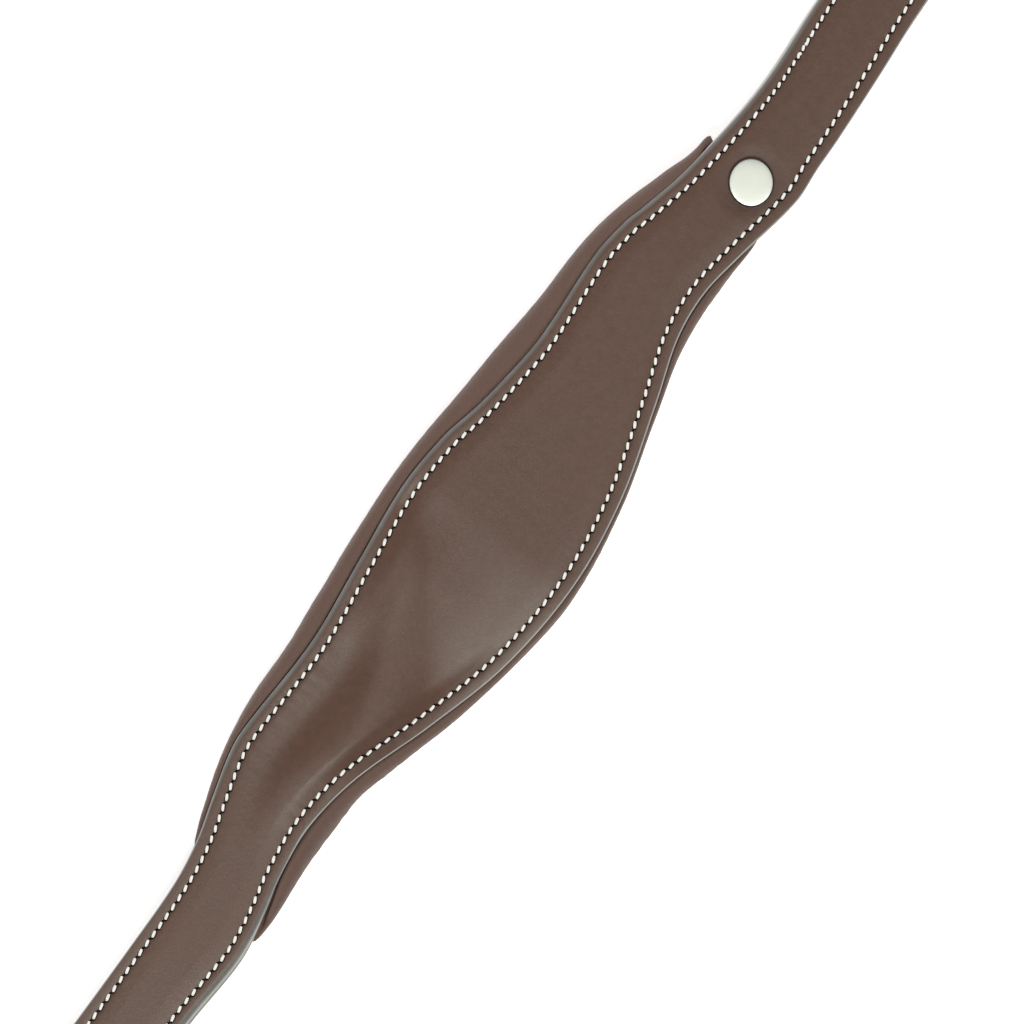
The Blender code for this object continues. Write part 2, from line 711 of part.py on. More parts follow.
def pad_pieces(name, lay, span, sides, depth, ends, skin_material, foam_material):
    """Cover and foam of a pad that hangs below up = 0; the cover is open under the strap."""
    def placed(along, inset):
        return [lay(*point) for point in pad_section(along, span, sides, depth, ends, inset)]

    stations = pad_stations(*span)
    bm = bmesh.new()
    rows = []
    for along in stations:
        outer = [bm.verts.new(point) for point in placed(along, 0.0)]
        inner = [bm.verts.new(point) for point in placed(along, PAD_SKIN)]
        rows.append((outer, inner))
    for row, following in zip(rows, rows[1:]):
        for layer in (0, 1):
            here, there = row[layer], following[layer]
            for i in range(len(here) - 1):
                bm.faces.new((here[i], here[i + 1], there[i + 1], there[i]))
        for lip in (0, -1):
            bm.faces.new((row[0][lip], row[1][lip], following[1][lip], following[0][lip]))
    for outer, inner in (rows[0], rows[-1]):
        for i in range(len(outer) - 1):
            bm.faces.new((outer[i], outer[i + 1], inner[i + 1], inner[i]))
    cover = make_object(name + "_pad_cover", bm, skin_material)
    foam = [placed(along, PAD_GAP) for along in stations[1:-1]]
    return cover, loft(name + "_pad_foam", foam, foam_material)


# Straps with their buckles

def buckle_set(side, lay, length, hollow, fold_width, width, stack, reach, loose_at, materials):
    """Chape, frame, tongue and two keepers; stack is the billet's thickness."""
    leather, metal = materials
    strap, slot = chape(side + "_chape", lay, length, hollow, fold_width, width, leather)
    return {
        "chape": strap,
        "slot": slot,
        "frame": buckle_frame(side + "_buckle_frame", lay, length, reach, width, stack, metal),
        "tongue": tongue(side + "_buckle_tongue", lay, length, reach, stack, metal),
        "fixed": keeper(side + "_fixed_keeper", lay, length - FIXED_KEEPER_AT, width, stack, leather),
        "loose": keeper(side + "_loose_keeper", lay, length - loose_at, width, stack, leather),
    }


def cheek(side, material):
    """Cheek strap between a lower and an upper ring; side is -1 off, +1 near."""
    name = "off_cheek_strap" if side < 0 else "near_cheek_strap"
    lay = straight_lay((side * CHEEK_OFFSET, RING_REACH, RING_LEVEL), 90.0)
    length = CHEEK_PITCH - 2 * RING_REACH
    eye = eye_path(eye_radius(RING_HOLLOW, LAYER), HALF_GAP)
    edges = even_edges(length, RING_FOLD_WIDTH, STRAP_WIDTH, RING_FOLD_WIDTH)
    return ribbon(name, link_path(length, eye, eye), lay, edges, LAYER, material, closed=True)


def tip_width(to_tip, width):
    """Half width of a strap near its rounded point."""
    if to_tip >= TIP_LENGTH:
        return width / 2
    share = 1.0 - max(to_tip, 0.0) / TIP_LENGTH
    return max(width / 2 * math.sqrt(1.0 - share ** TIP_SQUARENESS), TIP_LEAST_HALF)


def crown_sides(inset):
    """Sides of the crown's leather, less an inset."""
    def edges(along):
        to_tip = CROWN_LENGTH / 2 - inset - abs(along)
        limit = tip_width(to_tip, STRAP_WIDTH - 2 * inset)
        if to_tip < TIP_LENGTH:
            return -limit, limit
        half = STRAP_WIDTH / 2 - inset
        return -half - through(REAR_EDGE, along), half + through(FRONT_EDGE, along)
    return edges


def crown_stations(inset):
    """Places along the crown, closer together at its tips."""
    end = CROWN_LENGTH / 2 - inset
    middle = spread(-end + TIP_LENGTH, end - TIP_LENGTH, round(CROWN_LENGTH / CROWN_STATION))
    return [-end + step for step in TIP_STEPS] + middle + [end - step for step in reversed(TIP_STEPS)]


def crown_layer(name, inset, bottom, thickness, lay, material):
    """One leather layer of the crown, with its holes."""
    path = [(along, bottom + thickness / 2) for along in crown_stations(inset)]
    layer = ribbon(name, path, lay, crown_sides(inset), thickness, material)
    places = []
    for end in (-1, 1):
        for i in range(HOLE_COUNT):
            places.append((end * (HOLE_FIRST + i * HOLE_PITCH), 0.0))
    low, high = bottom - CUT_PAST, bottom + thickness + CUT_PAST
    holes = oblong_cutter(name + "_holes", lay, places, low, high, HOLE_LENGTH, HOLE_WIDTH, material)
    bore = RIVET_RADIUS + CLEAR
    drill = [(0.0, low), (bore, low), (bore, high), (0.0, high)]
    base = lay(STUD_ALONG, 0.0, STUD_ACROSS)
    rivet = turned(name + "_rivet_hole", drill, base, (0, 0, 1), WASHER_STEPS, material)
    cut(layer, holes)
    cut(layer, rivet)
    return layer, holes, rivet


def make_crown(leather, lining, skin, foam, metal):
    """Crown strap with its pad and stud."""
    bottom = RING_LEVEL + BILLET_LEVEL
    place = Vector((-CHEEK_OFFSET, CROWN_MIDDLE_Y, bottom))

    def lay(along, up, across):
        return place + Vector((across, along, up))

    pieces = []
    pieces += crown_layer("crown_lining", LINING_INSET, 0.0, CROWN_LINING, lay, lining)
    pieces += crown_layer("crown_top_leather", 0.0, CROWN_LINING + CLEAR, CROWN_TOP, lay, leather)

    def pad_lay(along, up, across):
        return lay(along, up - CLEAR, across)

    def sides(along):
        half = STRAP_WIDTH / 2
        return -half - through(PAD_REAR_EDGE, along), half + through(PAD_FRONT_EDGE, along)

    span = (CROWN_PAD_FROM, CROWN_PAD_TO)
    ends = (CROWN_PAD_END_SHARE, CROWN_PAD_END_RUN, CROWN_PAD_SLANT)
    pieces += pad_pieces("crown", pad_lay, span, sides, PAD_DEPTH, ends, skin, foam)
    pieces += make_stud(lay, metal)
    return pieces


def make_stud(lay, metal):
    """Stud cap with its rivet, and the washer under the strap."""
    under = -CLEAR - WASHER_THICKNESS
    seat = CROWN_STACK + CLEAR
    cap = [
        (0.0, under - CLEAR - RIVET_HEAD_THICKNESS), (RIVET_HEAD, under - CLEAR - RIVET_HEAD_THICKNESS),
        (RIVET_HEAD, under - CLEAR), (RIVET_RADIUS, under - CLEAR), (RIVET_RADIUS, seat),
        (STUD_RADIUS, seat), (STUD_RADIUS, seat + STUD_CAP - STUD_RIM),
        (STUD_RADIUS - STUD_RIM, seat + STUD_CAP), (0.0, seat + STUD_CAP),
    ]
    bore = RIVET_RADIUS + CLEAR
    washer = [(bore, under), (WASHER_RADIUS, under), (WASHER_RADIUS, -CLEAR), (bore, -CLEAR)]
    base = lay(STUD_ALONG, 0.0, STUD_ACROSS)
    up = (0, 0, 1)
    return [
        turned("stud", cap, base, up, STUD_STEPS, metal),
        turned("stud_washer", washer, base, up, WASHER_STEPS, metal),
    ]


# Noseband

def arch_lay():
    """Lay along the noseband's arch, from the off ring over the nose to the near ring."""
    off_end = polar((-CHEEK_OFFSET, 0.0), SIDE_REACH, NOSE_ANGLE, RING_LEVEL)
    half_span = -off_end.x
    rise = math.sqrt(max(2 * (NOSEBAND_LENGTH / math.pi) ** 2 - half_span ** 2, 0.0))
    turns = spread(0.0, math.pi, ARCH_STEPS + 1)

    def place(turn):
        return Vector((
            -half_span * math.cos(turn),
            off_end.y - NOSEBAND_LEAN * math.sin(turn) ** 2,
            RING_LEVEL + rise * math.sin(turn),
        ))

    lengths = [0.0]
    for start, end in zip(turns, turns[1:]):
        lengths.append(lengths[-1] + (place(end) - place(start)).length)
    total = lengths[-1]

    def turn_at(along):
        index = 0
        while index < ARCH_STEPS - 1 and lengths[index + 1] < along:
            index += 1
        share = (along - lengths[index]) / (lengths[index + 1] - lengths[index])
        return mix(turns[index], turns[index + 1], share)

    def lay(along, up, across):
        inside = min(max(along, 0.0), total)
        turn = turn_at(inside)
        heading = Vector((
            half_span * math.sin(turn),
            -NOSEBAND_LEAN * math.sin(2.0 * turn),
            rise * math.cos(turn),
        )).normalized()
        side = Vector((0, 1, 0))
        side = (side - heading * side.dot(heading)).normalized()
        to_end = min(inside, total - inside)
        twist = math.radians(NOSE_ANGLE) * (1.0 - smooth(to_end / NOSEBAND_TWIST_RUN))
        side = Matrix.Rotation(twist, 3, heading) @ side
        out = heading.cross(side)
        return place(turn) + heading * (along - inside) + out * up + side * across

    return lay, total


def make_noseband(leather, skin, foam):
    """Noseband strap folded round both lower rings, with its pad inside the arch."""
    lay, total = arch_lay()
    eye = eye_path(eye_radius(SIDE_HOLLOW, LAYER), HALF_GAP)
    start = [(NOSEBAND_TURN_BACK, -HALF_GAP)] + between((NOSEBAND_TURN_BACK, -HALF_GAP), eye[0], 1) + eye
    end = [(total - along, up) for along, up in start[::-1]]
    middle = between(start[-1], end[0], NOSEBAND_STATIONS)

    def edges(along):
        to_end = min(along, total - along)
        width = mix(SIDE_FOLD_WIDTH, STRAP_WIDTH, smooth(to_end / FOLD_TAPER))
        bulge = smooth((to_end - NOSEBAND_TURN_BACK) / (total / 2 - NOSEBAND_TURN_BACK))
        width = mix(width, NOSEBAND_MIDDLE_WIDTH, bulge)
        return -width / 2, width / 2

    strap = ribbon("noseband_strap", start + middle + end, lay, edges, LAYER, leather)

    def pad_sides(along):
        to_end = min(along, total - along) - NOSE_PAD_FROM
        bulge = smooth(to_end / (total / 2 - NOSE_PAD_FROM))
        half = mix(NOSE_PAD_END_WIDTH, NOSE_PAD_MIDDLE_WIDTH, bulge) / 2
        return -half, half

    def pad_lay(along, up, across):
        return lay(along, up - CLEAR / 2, across)

    span = (NOSE_PAD_FROM, total - NOSE_PAD_FROM)
    ends = (NOSE_PAD_END_SHARE, NOSE_PAD_END_RUN, 0.0)
    pad = pad_pieces("noseband", pad_lay, span, pad_sides, NOSE_PAD_DEPTH, ends, skin, foam)
    return strap, *pad


# Chin, jaw and throat

def chin_centre():
    """Centre of the chin ring seen from above."""
    return (0.0, CHIN_RING_Y)


def make_off_chin(material):
    """Chin strap sewn round the off lower ring and the chin ring."""
    origin = polar((-CHEEK_OFFSET, 0.0), SIDE_REACH, CHIN_ANGLE, RING_LEVEL)
    lay = straight_lay(origin, CHIN_ANGLE)
    path = link_path(
        CHIN_RUN,
        eye_path(eye_radius(SIDE_HOLLOW, LAYER), HALF_GAP),
        eye_path(eye_radius(CHIN_HOLLOW, LAYER), HALF_GAP),
    )
    edges = even_edges(CHIN_RUN, SIDE_FOLD_WIDTH, CHIN_WIDTH, SIDE_FOLD_WIDTH)
    return ribbon("off_chin_strap", path, lay, edges, LAYER, material, closed=True)


def make_near_chin(leather, metal):
    """Buckle set on the near lower ring, and the billet that comes to it from the chin ring."""
    heading = 180.0 - CHIN_ANGLE
    origin = polar((CHEEK_OFFSET, 0.0), SIDE_REACH, heading, RING_LEVEL)
    lay = straight_lay(origin, heading)
    chin = buckle_set(
        "chin", lay, CHIN_CHAPE, SIDE_HOLLOW, SIDE_FOLD_WIDTH, CHIN_WIDTH, CHIN_BILLET,
        CHIN_BUCKLE_REACH, CHIN_LOOSE_KEEPER_AT, (leather, metal),
    )
    billet_origin = polar(chin_centre(), CHIN_REACH, heading - 180.0, RING_LEVEL)
    billet_lay = straight_lay(billet_origin, heading - 180.0)
    eye = eye_path(eye_radius(CHIN_HOLLOW, LAYER), HALF_GAP)
    level = BILLET_LEVEL + CHIN_BILLET / 2
    path = [(CHIN_TURN_BACK, -HALF_GAP)] + eye
    for along in spread(CHIN_BILLET_RISE_FROM, CHIN_BILLET_RISE_TO, BILLET_RISE_STEPS)[1:]:
        share = (along - CHIN_BILLET_RISE_FROM) / (CHIN_BILLET_RISE_TO - CHIN_BILLET_RISE_FROM)
        path.append((along, mix(HALF_GAP, level, smooth(share))))
    bar_from_chin = CHIN_RUN - CHIN_CHAPE
    tip = bar_from_chin + CHIN_TAIL
    path += between(path[-1], (tip - TIP_LENGTH, level), 2)
    path += [(tip - step, level) for step in (TIP_LENGTH, *reversed(TIP_STEPS))]

    def edges(along):
        half = mix(SIDE_FOLD_WIDTH, CHIN_WIDTH, smooth(along / FOLD_TAPER)) / 2
        if tip - along < TIP_LENGTH:
            half = tip_width(tip - along, CHIN_WIDTH)
        return -half, half

    billet = ribbon("chin_billet", path, billet_lay, edges, CHIN_BILLET, leather)
    first = bar_from_chin - HOLE_FROM_BAR
    places = [(first + i * CHIN_HOLE_PITCH, 0.0) for i in range(CHIN_HOLE_COUNT)]
    low = level - CHIN_BILLET
    high = level + CHIN_BILLET
    sizes = (low, high, HOLE_LENGTH, HOLE_WIDTH)
    holes = oblong_cutter("chin_billet_holes", billet_lay, places, *sizes, leather)
    cut(billet, holes)
    return chin, billet, holes


def make_jaw(material):
    """Jaw strap from the chin ring to the loop that the throat strap runs through."""
    hollow = THROAT_RADIUS + THROAT_PLAY_UP
    loop_radius = eye_radius(hollow, LAYER)
    rise = max(faceted(hollow + LAYER) + SLOPE_PLAY - RING_LEVEL, 0.0)
    pitch = math.degrees(math.asin(rise / JAW_LENGTH))
    origin = polar(chin_centre(), CHIN_REACH, 90.0, RING_LEVEL)
    lay = straight_lay(origin, 90.0, pitch)
    path = link_path(
        JAW_LENGTH,
        eye_path(eye_radius(CHIN_HOLLOW, LAYER), HALF_GAP),
        eye_path(loop_radius, HALF_GAP, THROAT_PLAY_ALONG),
    )
    edges = even_edges(JAW_LENGTH, SIDE_FOLD_WIDTH, JAW_WIDTH, SIDE_FOLD_WIDTH)
    strap = ribbon("jaw_strap", path, lay, edges, LAYER, material, closed=True)
    return strap, origin, lay(JAW_LENGTH, 0.0, 0.0)


def tab(name, lay, hollow, material):
    """Leather tab folded round a wire, with the throat strap's flat end between its layers."""
    half_gap = THROAT_FLAT / 2 + CLEAR + TAB_LAYER / 2
    eye = eye_path(eye_radius(hollow, TAB_LAYER), half_gap)
    path = [(TAB_LENGTH, -half_gap)] + eye + [(TAB_LENGTH, half_gap)]
    half = TAB_WIDTH / 2
    return ribbon(name, path, lay, lambda along: (-half, half), TAB_LAYER, material)


def smooth_route(points, spacing):
    """Points at about a spacing along a smooth curve through a few route points."""
    fine = []
    for i in range(len(points) - 1):
        before = points[max(i - 1, 0)]
        start, end = points[i], points[i + 1]
        after = points[min(i + 2, len(points) - 1)]
        leave = (end - before) / 2
        arrive = (after - start) / 2
        for t in spread(0.0, 1.0, ROUTE_STEPS)[:-1]:
            fine.append(
                start * (2 * t ** 3 - 3 * t ** 2 + 1) + end * (3 * t ** 2 - 2 * t ** 3)
                + leave * (t ** 3 - 2 * t ** 2 + t) + arrive * (t ** 3 - t ** 2)
            )
    fine.append(points[-1])
    total = sum((end - start).length for start, end in zip(fine, fine[1:]))
    count = max(round(total / spacing), 2)
    route = [fine[0]]
    walked = 0.0
    for start, end in zip(fine, fine[1:]):
        walked += (end - start).length
        if walked >= total * len(route) / count and len(route) < count:
            route.append(end)
    route.append(fine[-1])
    return route


def make_throat(loop_centre, leather):
    """Rolled throat strap with a folded tab at each end."""
    off_ring = (-CHEEK_OFFSET, CHEEK_PITCH)
    off_origin = polar(off_ring, SIDE_REACH, THROAT_ANGLE, RING_LEVEL)
    off_lay = straight_lay(off_origin, THROAT_ANGLE)
    snap_origin = Vector((SNAP_FROM_LOOP[0], loop_centre.y + SNAP_FROM_LOOP[1], RING_LEVEL))
    snap_lay = straight_lay(snap_origin, -90.0)
    off_tab = tab("throat_ring_tab", off_lay, ring_hollow(RING_MEAN, RING_WIRE, TAB_WIDTH), leather)
    near_tab = tab("throat_snap_tab", snap_lay, SNAP_WIRE + CLEAR, leather)
    route = [off_lay(along, 0.0, 0.0) for along in (TAB_START, TAB_LENGTH, TAB_LENGTH + THROAT_RADIUS)]
    for x, y in THROAT_BEND_OFF:
        height = mix(loop_centre.z, RING_LEVEL, smooth(y / THROAT_DROP_OFF))
        route.append(Vector((x, loop_centre.y + y, height)))
    route.append(loop_centre)
    for x, y in THROAT_BEND_NEAR:
        height = mix(loop_centre.z, RING_LEVEL, smooth(y / THROAT_DROP_NEAR))
        route.append(Vector((x, loop_centre.y + y, height)))
    route += [snap_lay(along, 0.0, 0.0) for along in (TAB_LENGTH + THROAT_RADIUS, TAB_LENGTH, TAB_START)]
    spacing = THROAT_RADIUS * THROAT_STATION_SHARE
    points = smooth_route(route, spacing)
    flat_run = TAB_LENGTH - TAB_START + spacing
    walked = [0.0]
    for start, end in zip(points, points[1:]):
        walked.append(walked[-1] + (end - start).length)

    def radii(i):
        to_end = min(walked[i], walked[-1] - walked[i])
        share = smooth((to_end - flat_run) / THROAT_ROUND_RUN)
        wide = mix(TAB_WIDTH / 2 - THROAT_INSET, THROAT_RADIUS, share)
        return wide, mix(THROAT_FLAT / 2, THROAT_RADIUS, share)

    sections = wire_sections(points, radii, (0, 0, 1), sides=THROAT_SIDES)
    strap = loft("throat_strap", sections, leather)
    return strap, off_tab, near_tab, snap_origin


# Snap

def make_snap(origin, metal, spring_metal):
    """Swivel snap, pointing along +Y from its eye's bar: eye, body with hook, bolt and spring."""
    def at(x, y, z=0.0):
        return origin + Vector((x, y, z))

    up = (0, 0, 1)
    ahead = (0, 1, 0)
    neck = SNAP_EYE_LENGTH
    side = [(SNAP_EYE_HALF * x, neck * y) for x, y in SNAP_EYE_SIDE]
    eye_outline = [(0.0, 0.0), *side, (0.0, neck), *[(-x, y) for x, y in reversed(side)]]
    eye = wire("snap_eye", [at(x, y) for x, y in eye_outline], SNAP_WIRE, up, metal, closed=True)
    barrel_at = neck + SNAP_WIRE + CLEAR
    head_at = barrel_at + SNAP_END_WALL + CLEAR
    stud_profile = [
        (0.0, neck), (SWIVEL_RADIUS, neck), (SWIVEL_RADIUS, head_at), (SWIVEL_HEAD, head_at),
        (SWIVEL_HEAD, head_at + SWIVEL_HEAD_LENGTH), (0.0, head_at + SWIVEL_HEAD_LENGTH),
    ]
    swivel = turned("snap_swivel_guide", stud_profile, origin, ahead, PIN_STEPS, metal)
    cut(eye, swivel, "UNION")

    barrel_end = barrel_at + SNAP_BARREL_LENGTH
    bolt_bore = BOLT_RADIUS + CLEAR
    wall = [
        (SWIVEL_RADIUS + CLEAR, barrel_at), (SNAP_BARREL_RADIUS - SNAP_TAIL_TAPER, barrel_at),
        (SNAP_BARREL_RADIUS, barrel_at + SNAP_TAIL_LENGTH),
        (SNAP_BARREL_RADIUS, barrel_end - SNAP_NOSE_LENGTH),
        (SNAP_BARREL_RADIUS - SNAP_NOSE_TAPER, barrel_end), (bolt_bore, barrel_end),
        (bolt_bore, barrel_end - SNAP_END_WALL), (SNAP_BORE, barrel_end - SNAP_END_WALL),
        (SNAP_BORE, barrel_at + SNAP_END_WALL), (SWIVEL_RADIUS + CLEAR, barrel_at + SNAP_END_WALL),
    ]
    body = turned("snap_body", wall, origin, ahead, BARREL_STEPS, metal)
    tip_at = barrel_end + HOOK_MOUTH + HOOK_WIRE
    out = SNAP_BORE + 2 * CLEAR + HOOK_WIRE
    hook_points = [at(out + x, barrel_end + y) for x, y in HOOK_ROOT]
    hook_points.append(at(2 * HOOK_HALF_WIDTH, barrel_end + HOOK_SIDE_RISE))
    for turn in spread(0.0, math.radians(HOOK_SWEEP), HOOK_STEPS):
        hook_points.append(at(
            HOOK_HALF_WIDTH * (1.0 + math.cos(turn)), tip_at + HOOK_NOSE_DEPTH * (math.sin(turn) - 1.0),
        ))
    hook = wire("snap_hook_guide", hook_points, HOOK_WIRE, up, metal)
    cut(body, hook, "UNION")

    knob_at = barrel_end - SNAP_END_WALL - BOLT_PISTON_LENGTH / 2 - KNOB_SETBACK
    slot_half = KNOB_RADIUS + CLEAR
    slot_sections = []
    for along in (knob_at - BOLT_TRAVEL - slot_half, knob_at + slot_half):
        top = 2 * SNAP_BARREL_RADIUS
        outline = ((-slot_half, 0.0), (slot_half, 0.0), (slot_half, top), (-slot_half, top))
        slot_sections.append([at(x, along, z) for x, z in outline])
    slot = loft("snap_slot_guide", slot_sections, metal)
    cut(body, slot)

    bolt_tip = tip_at - HOOK_NOSE_DEPTH - HOOK_WIRE - CLEAR * 2
    piston = knob_at - BOLT_PISTON_LENGTH / 2
    bolt_profile = [
        (0.0, piston), (BOLT_PISTON, piston), (BOLT_PISTON, piston + BOLT_PISTON_LENGTH),
        (BOLT_RADIUS, piston + BOLT_PISTON_LENGTH), (BOLT_RADIUS, bolt_tip - BOLT_CHAMFER),
        (BOLT_RADIUS - BOLT_CHAMFER, bolt_tip), (0.0, bolt_tip),
    ]
    bolt = turned("snap_bolt", bolt_profile, origin, ahead, PIN_STEPS, metal)
    knob_top = SNAP_BARREL_RADIUS + KNOB_RISE
    knob_from = SNAP_BARREL_RADIUS + KNOB_NECK
    knob_profile = [
        (0.0, 0.0), (KNOB_RADIUS, 0.0), (KNOB_RADIUS, knob_from), (KNOB_HEAD, knob_from + KNOB_FLARE),
        (KNOB_HEAD, knob_top - BOLT_CHAMFER), (KNOB_HEAD - BOLT_CHAMFER, knob_top), (0.0, knob_top),
    ]
    knob = turned("snap_knob_guide", knob_profile, at(0.0, knob_at), up, PIN_STEPS, metal)
    cut(bolt, knob, "UNION")

    coil_from = head_at + SWIVEL_HEAD_LENGTH + CLEAR + SPRING_WIRE
    coil_to = piston - CLEAR - SPRING_WIRE
    coil_radius = SNAP_BORE - CLEAR - SPRING_WIRE
    coil = []
    coil_steps = SPRING_TURNS * SPRING_TURN_STEPS
    for i in range(coil_steps + 1):
        share = i / coil_steps
        turn = math.tau * SPRING_TURNS * share
        coil.append(at(
            coil_radius * math.cos(turn), mix(coil_from, coil_to, share), coil_radius * math.sin(turn),
        ))
    spring = wire("snap_spring", coil, SPRING_WIRE, ahead, spring_metal, sides=SPRING_SIDES)
    return {
        "eye": [eye, swivel],
        "body": [body, hook, slot, spring],
        "bolt": [bolt, knob],
        "swivel_at": at(0.0, barrel_at),
        "bolt_at": at(0.0, knob_at),
    }


def clear_scene():
    """Start from an empty scene."""
    for obj in list(bpy.data.objects):
        bpy.data.objects.remove(obj, do_unlink=True)


def main():
    """Make every piece and hang it on its joint."""
    clear_scene()
    leather = make_material("bridle_leather", (0.150, 0.084, 0.062), 0.42)
    lining = make_material("lining_leather", (0.135, 0.078, 0.058), 0.60)
    skin = make_material("pad_leather", (0.128, 0.080, 0.064), 0.68)
    foam = make_material("foam", (0.70, 0.66, 0.58), 0.95)
    metal = make_material("nickel_plate", (0.80, 0.80, 0.78), 0.18, 1.0)
    spring_steel = make_material("spring_steel", (0.55, 0.55, 0.56), 0.30, 1.0)

    halter = pivot("halter", (0.0, 0.0, 0.0), None)
    nose_loop = pivot("nose_loop", (0.0, 0.0, 0.0), halter)
    carry(nose_loop, *make_noseband(leather, skin, foam))
    carry(nose_loop, make_off_chin(leather))
    for name, side in (("off", -1), ("near", 1)):
        lower = (side * CHEEK_OFFSET, 0.0)
        carry(nose_loop, ring(name + "_lower_ring", lower, RING_MEAN, RING_WIRE, metal))
    carry(nose_loop, ring("chin_ring", chin_centre(), CHIN_RING_MEAN, CHIN_RING_WIRE, metal))
    chin, billet, billet_holes = make_near_chin(leather, metal)
    carry(nose_loop, chin["chape"], chin["slot"], chin["frame"], chin["fixed"], billet, billet_holes)
    heading = 180.0 - CHIN_ANGLE
    chin_bar = polar((CHEEK_OFFSET, 0.0), SIDE_REACH + CHIN_CHAPE, heading, RING_LEVEL)
    carry(pivot("chin_tongue_lift", chin_bar, nose_loop), chin["tongue"])
    carry(pivot("chin_keeper_slide", chin_bar, nose_loop), chin["loose"])

    jaw, jaw_axis, loop_centre = make_jaw(leather)
    carry(pivot("jaw_strap_fold", jaw_axis, nose_loop), jaw)

    off_fold = pivot("off_cheek_fold", (-CHEEK_OFFSET, RING_REACH, RING_LEVEL), nose_loop)
    off_upper = (-CHEEK_OFFSET, CHEEK_PITCH)
    carry(off_fold, cheek(-1, leather), ring("off_upper_ring", off_upper, RING_MEAN, RING_WIRE, metal))
    throat, off_tab, near_tab, snap_origin = make_throat(loop_centre, leather)
    carry(off_fold, throat, off_tab, near_tab)
    snap = make_snap(snap_origin, metal, spring_steel)
    snap_hinge = pivot("snap_hinge", snap_origin, off_fold)
    carry(snap_hinge, *snap["eye"])
    snap_swivel = pivot("snap_swivel", snap["swivel_at"], snap_hinge)
    carry(snap_swivel, *snap["body"])
    carry(pivot("snap_bolt_slide", snap["bolt_at"], snap_swivel), *snap["bolt"])

    crown_hinge_y = CHEEK_PITCH + RING_REACH
    crown_fold = pivot("crown_fold", (-CHEEK_OFFSET, crown_hinge_y, RING_LEVEL), off_fold)
    carry(crown_fold, *make_crown(leather, lining, skin, foam, metal))
    near_fold = pivot("near_cheek_fold", (CHEEK_OFFSET, RING_REACH, RING_LEVEL), nose_loop)
    carry(near_fold, cheek(1, leather))
    near_upper = (CHEEK_OFFSET, CHEEK_PITCH)
    ring_axis = (CHEEK_OFFSET, CHEEK_PITCH - RING_REACH, RING_LEVEL)
    ring_tilt = pivot("near_ring_tilt", ring_axis, near_fold)
    carry(ring_tilt, ring("near_upper_ring", near_upper, RING_MEAN, RING_WIRE, metal))
    near_chape = pivot("near_chape_fold", (CHEEK_OFFSET, crown_hinge_y, RING_LEVEL), ring_tilt)

    for name, side, holder in (("off", -1, crown_fold), ("near", 1, near_chape)):
        lay = straight_lay((side * CHEEK_OFFSET, crown_hinge_y, RING_LEVEL), 90.0)
        buckle = buckle_set(
            name, lay, CROWN_CHAPE, RING_HOLLOW, RING_FOLD_WIDTH, STRAP_WIDTH, CROWN_STACK,
            CROWN_BUCKLE_REACH, CROWN_LOOSE_KEEPER_AT, (leather, metal),
        )
        bar = (side * CHEEK_OFFSET, CROWN_BAR_Y, RING_LEVEL)
        carry(holder, buckle["chape"], buckle["slot"], buckle["fixed"])
        frame_holder = holder
        if side > 0:
            frame_holder = pivot("near_buckle_swing", bar, holder)
        carry(frame_holder, buckle["frame"])
        carry(pivot(name + "_tongue_lift", bar, frame_holder), buckle["tongue"])
        carry(pivot(name + "_keeper_slide", bar, holder), buckle["loose"])

    halter.location = -CENTRE


main()
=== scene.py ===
"""Looks of the padded leather halter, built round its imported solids.

Metres, +Z up, +Y towards the poll; the off (right) side is -X and the near (left) side is +X.
A strap is drawn in its own space, as in the solids: "along" it, "up" from it and "across" it, and a
lay turns those three into the halter's frame.
"""

import json
import math
from bisect import bisect_left
from functools import lru_cache

import bmesh
import bpy
from bpy.props import FloatProperty, FloatVectorProperty, IntProperty, PointerProperty
from mathutils import Matrix, Vector, noise


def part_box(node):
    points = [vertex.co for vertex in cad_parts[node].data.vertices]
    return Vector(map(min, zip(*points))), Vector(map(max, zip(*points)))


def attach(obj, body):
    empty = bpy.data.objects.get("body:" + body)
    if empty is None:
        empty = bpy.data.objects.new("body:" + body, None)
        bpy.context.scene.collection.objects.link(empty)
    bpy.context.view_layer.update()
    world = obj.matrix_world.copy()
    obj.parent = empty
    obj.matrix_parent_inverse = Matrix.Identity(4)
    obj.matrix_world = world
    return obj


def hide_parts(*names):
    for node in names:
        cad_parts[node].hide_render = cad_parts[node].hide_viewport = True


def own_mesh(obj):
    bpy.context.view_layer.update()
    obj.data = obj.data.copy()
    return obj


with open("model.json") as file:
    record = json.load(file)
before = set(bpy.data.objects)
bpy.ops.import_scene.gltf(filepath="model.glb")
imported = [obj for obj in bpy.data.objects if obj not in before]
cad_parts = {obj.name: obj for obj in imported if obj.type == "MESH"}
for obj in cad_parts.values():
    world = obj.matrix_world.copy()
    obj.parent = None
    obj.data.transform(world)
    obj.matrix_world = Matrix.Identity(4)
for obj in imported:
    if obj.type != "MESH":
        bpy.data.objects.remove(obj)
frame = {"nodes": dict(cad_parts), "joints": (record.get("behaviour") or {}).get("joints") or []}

bl_info = {
    "name": "Padded halter",
    "version": (1, 0, 0),
    "blender": (4, 5, 0),
    "location": "3D View > Sidebar > Halter",
    "description": "Leather, stitching, pads and hardware of a padded halter",
    "category": "Object",
}

# Clearance between pieces that touch in the real halter
CLEAR = 0.0003

# Leather
STRAP_WIDTH = 0.025
CHIN_WIDTH = 0.019
JAW_WIDTH = 0.020
LAYER = 0.0024
HALF_GAP = (LAYER + CLEAR) / 2
RING_FOLD_WIDTH = 0.020
SIDE_FOLD_WIDTH = 0.0165
FOLD_TAPER = 0.018
EYE_TAPER = 2.3
SEWN_FROM_FOLD = 0.0145
NARROW_MARGIN = 0.78

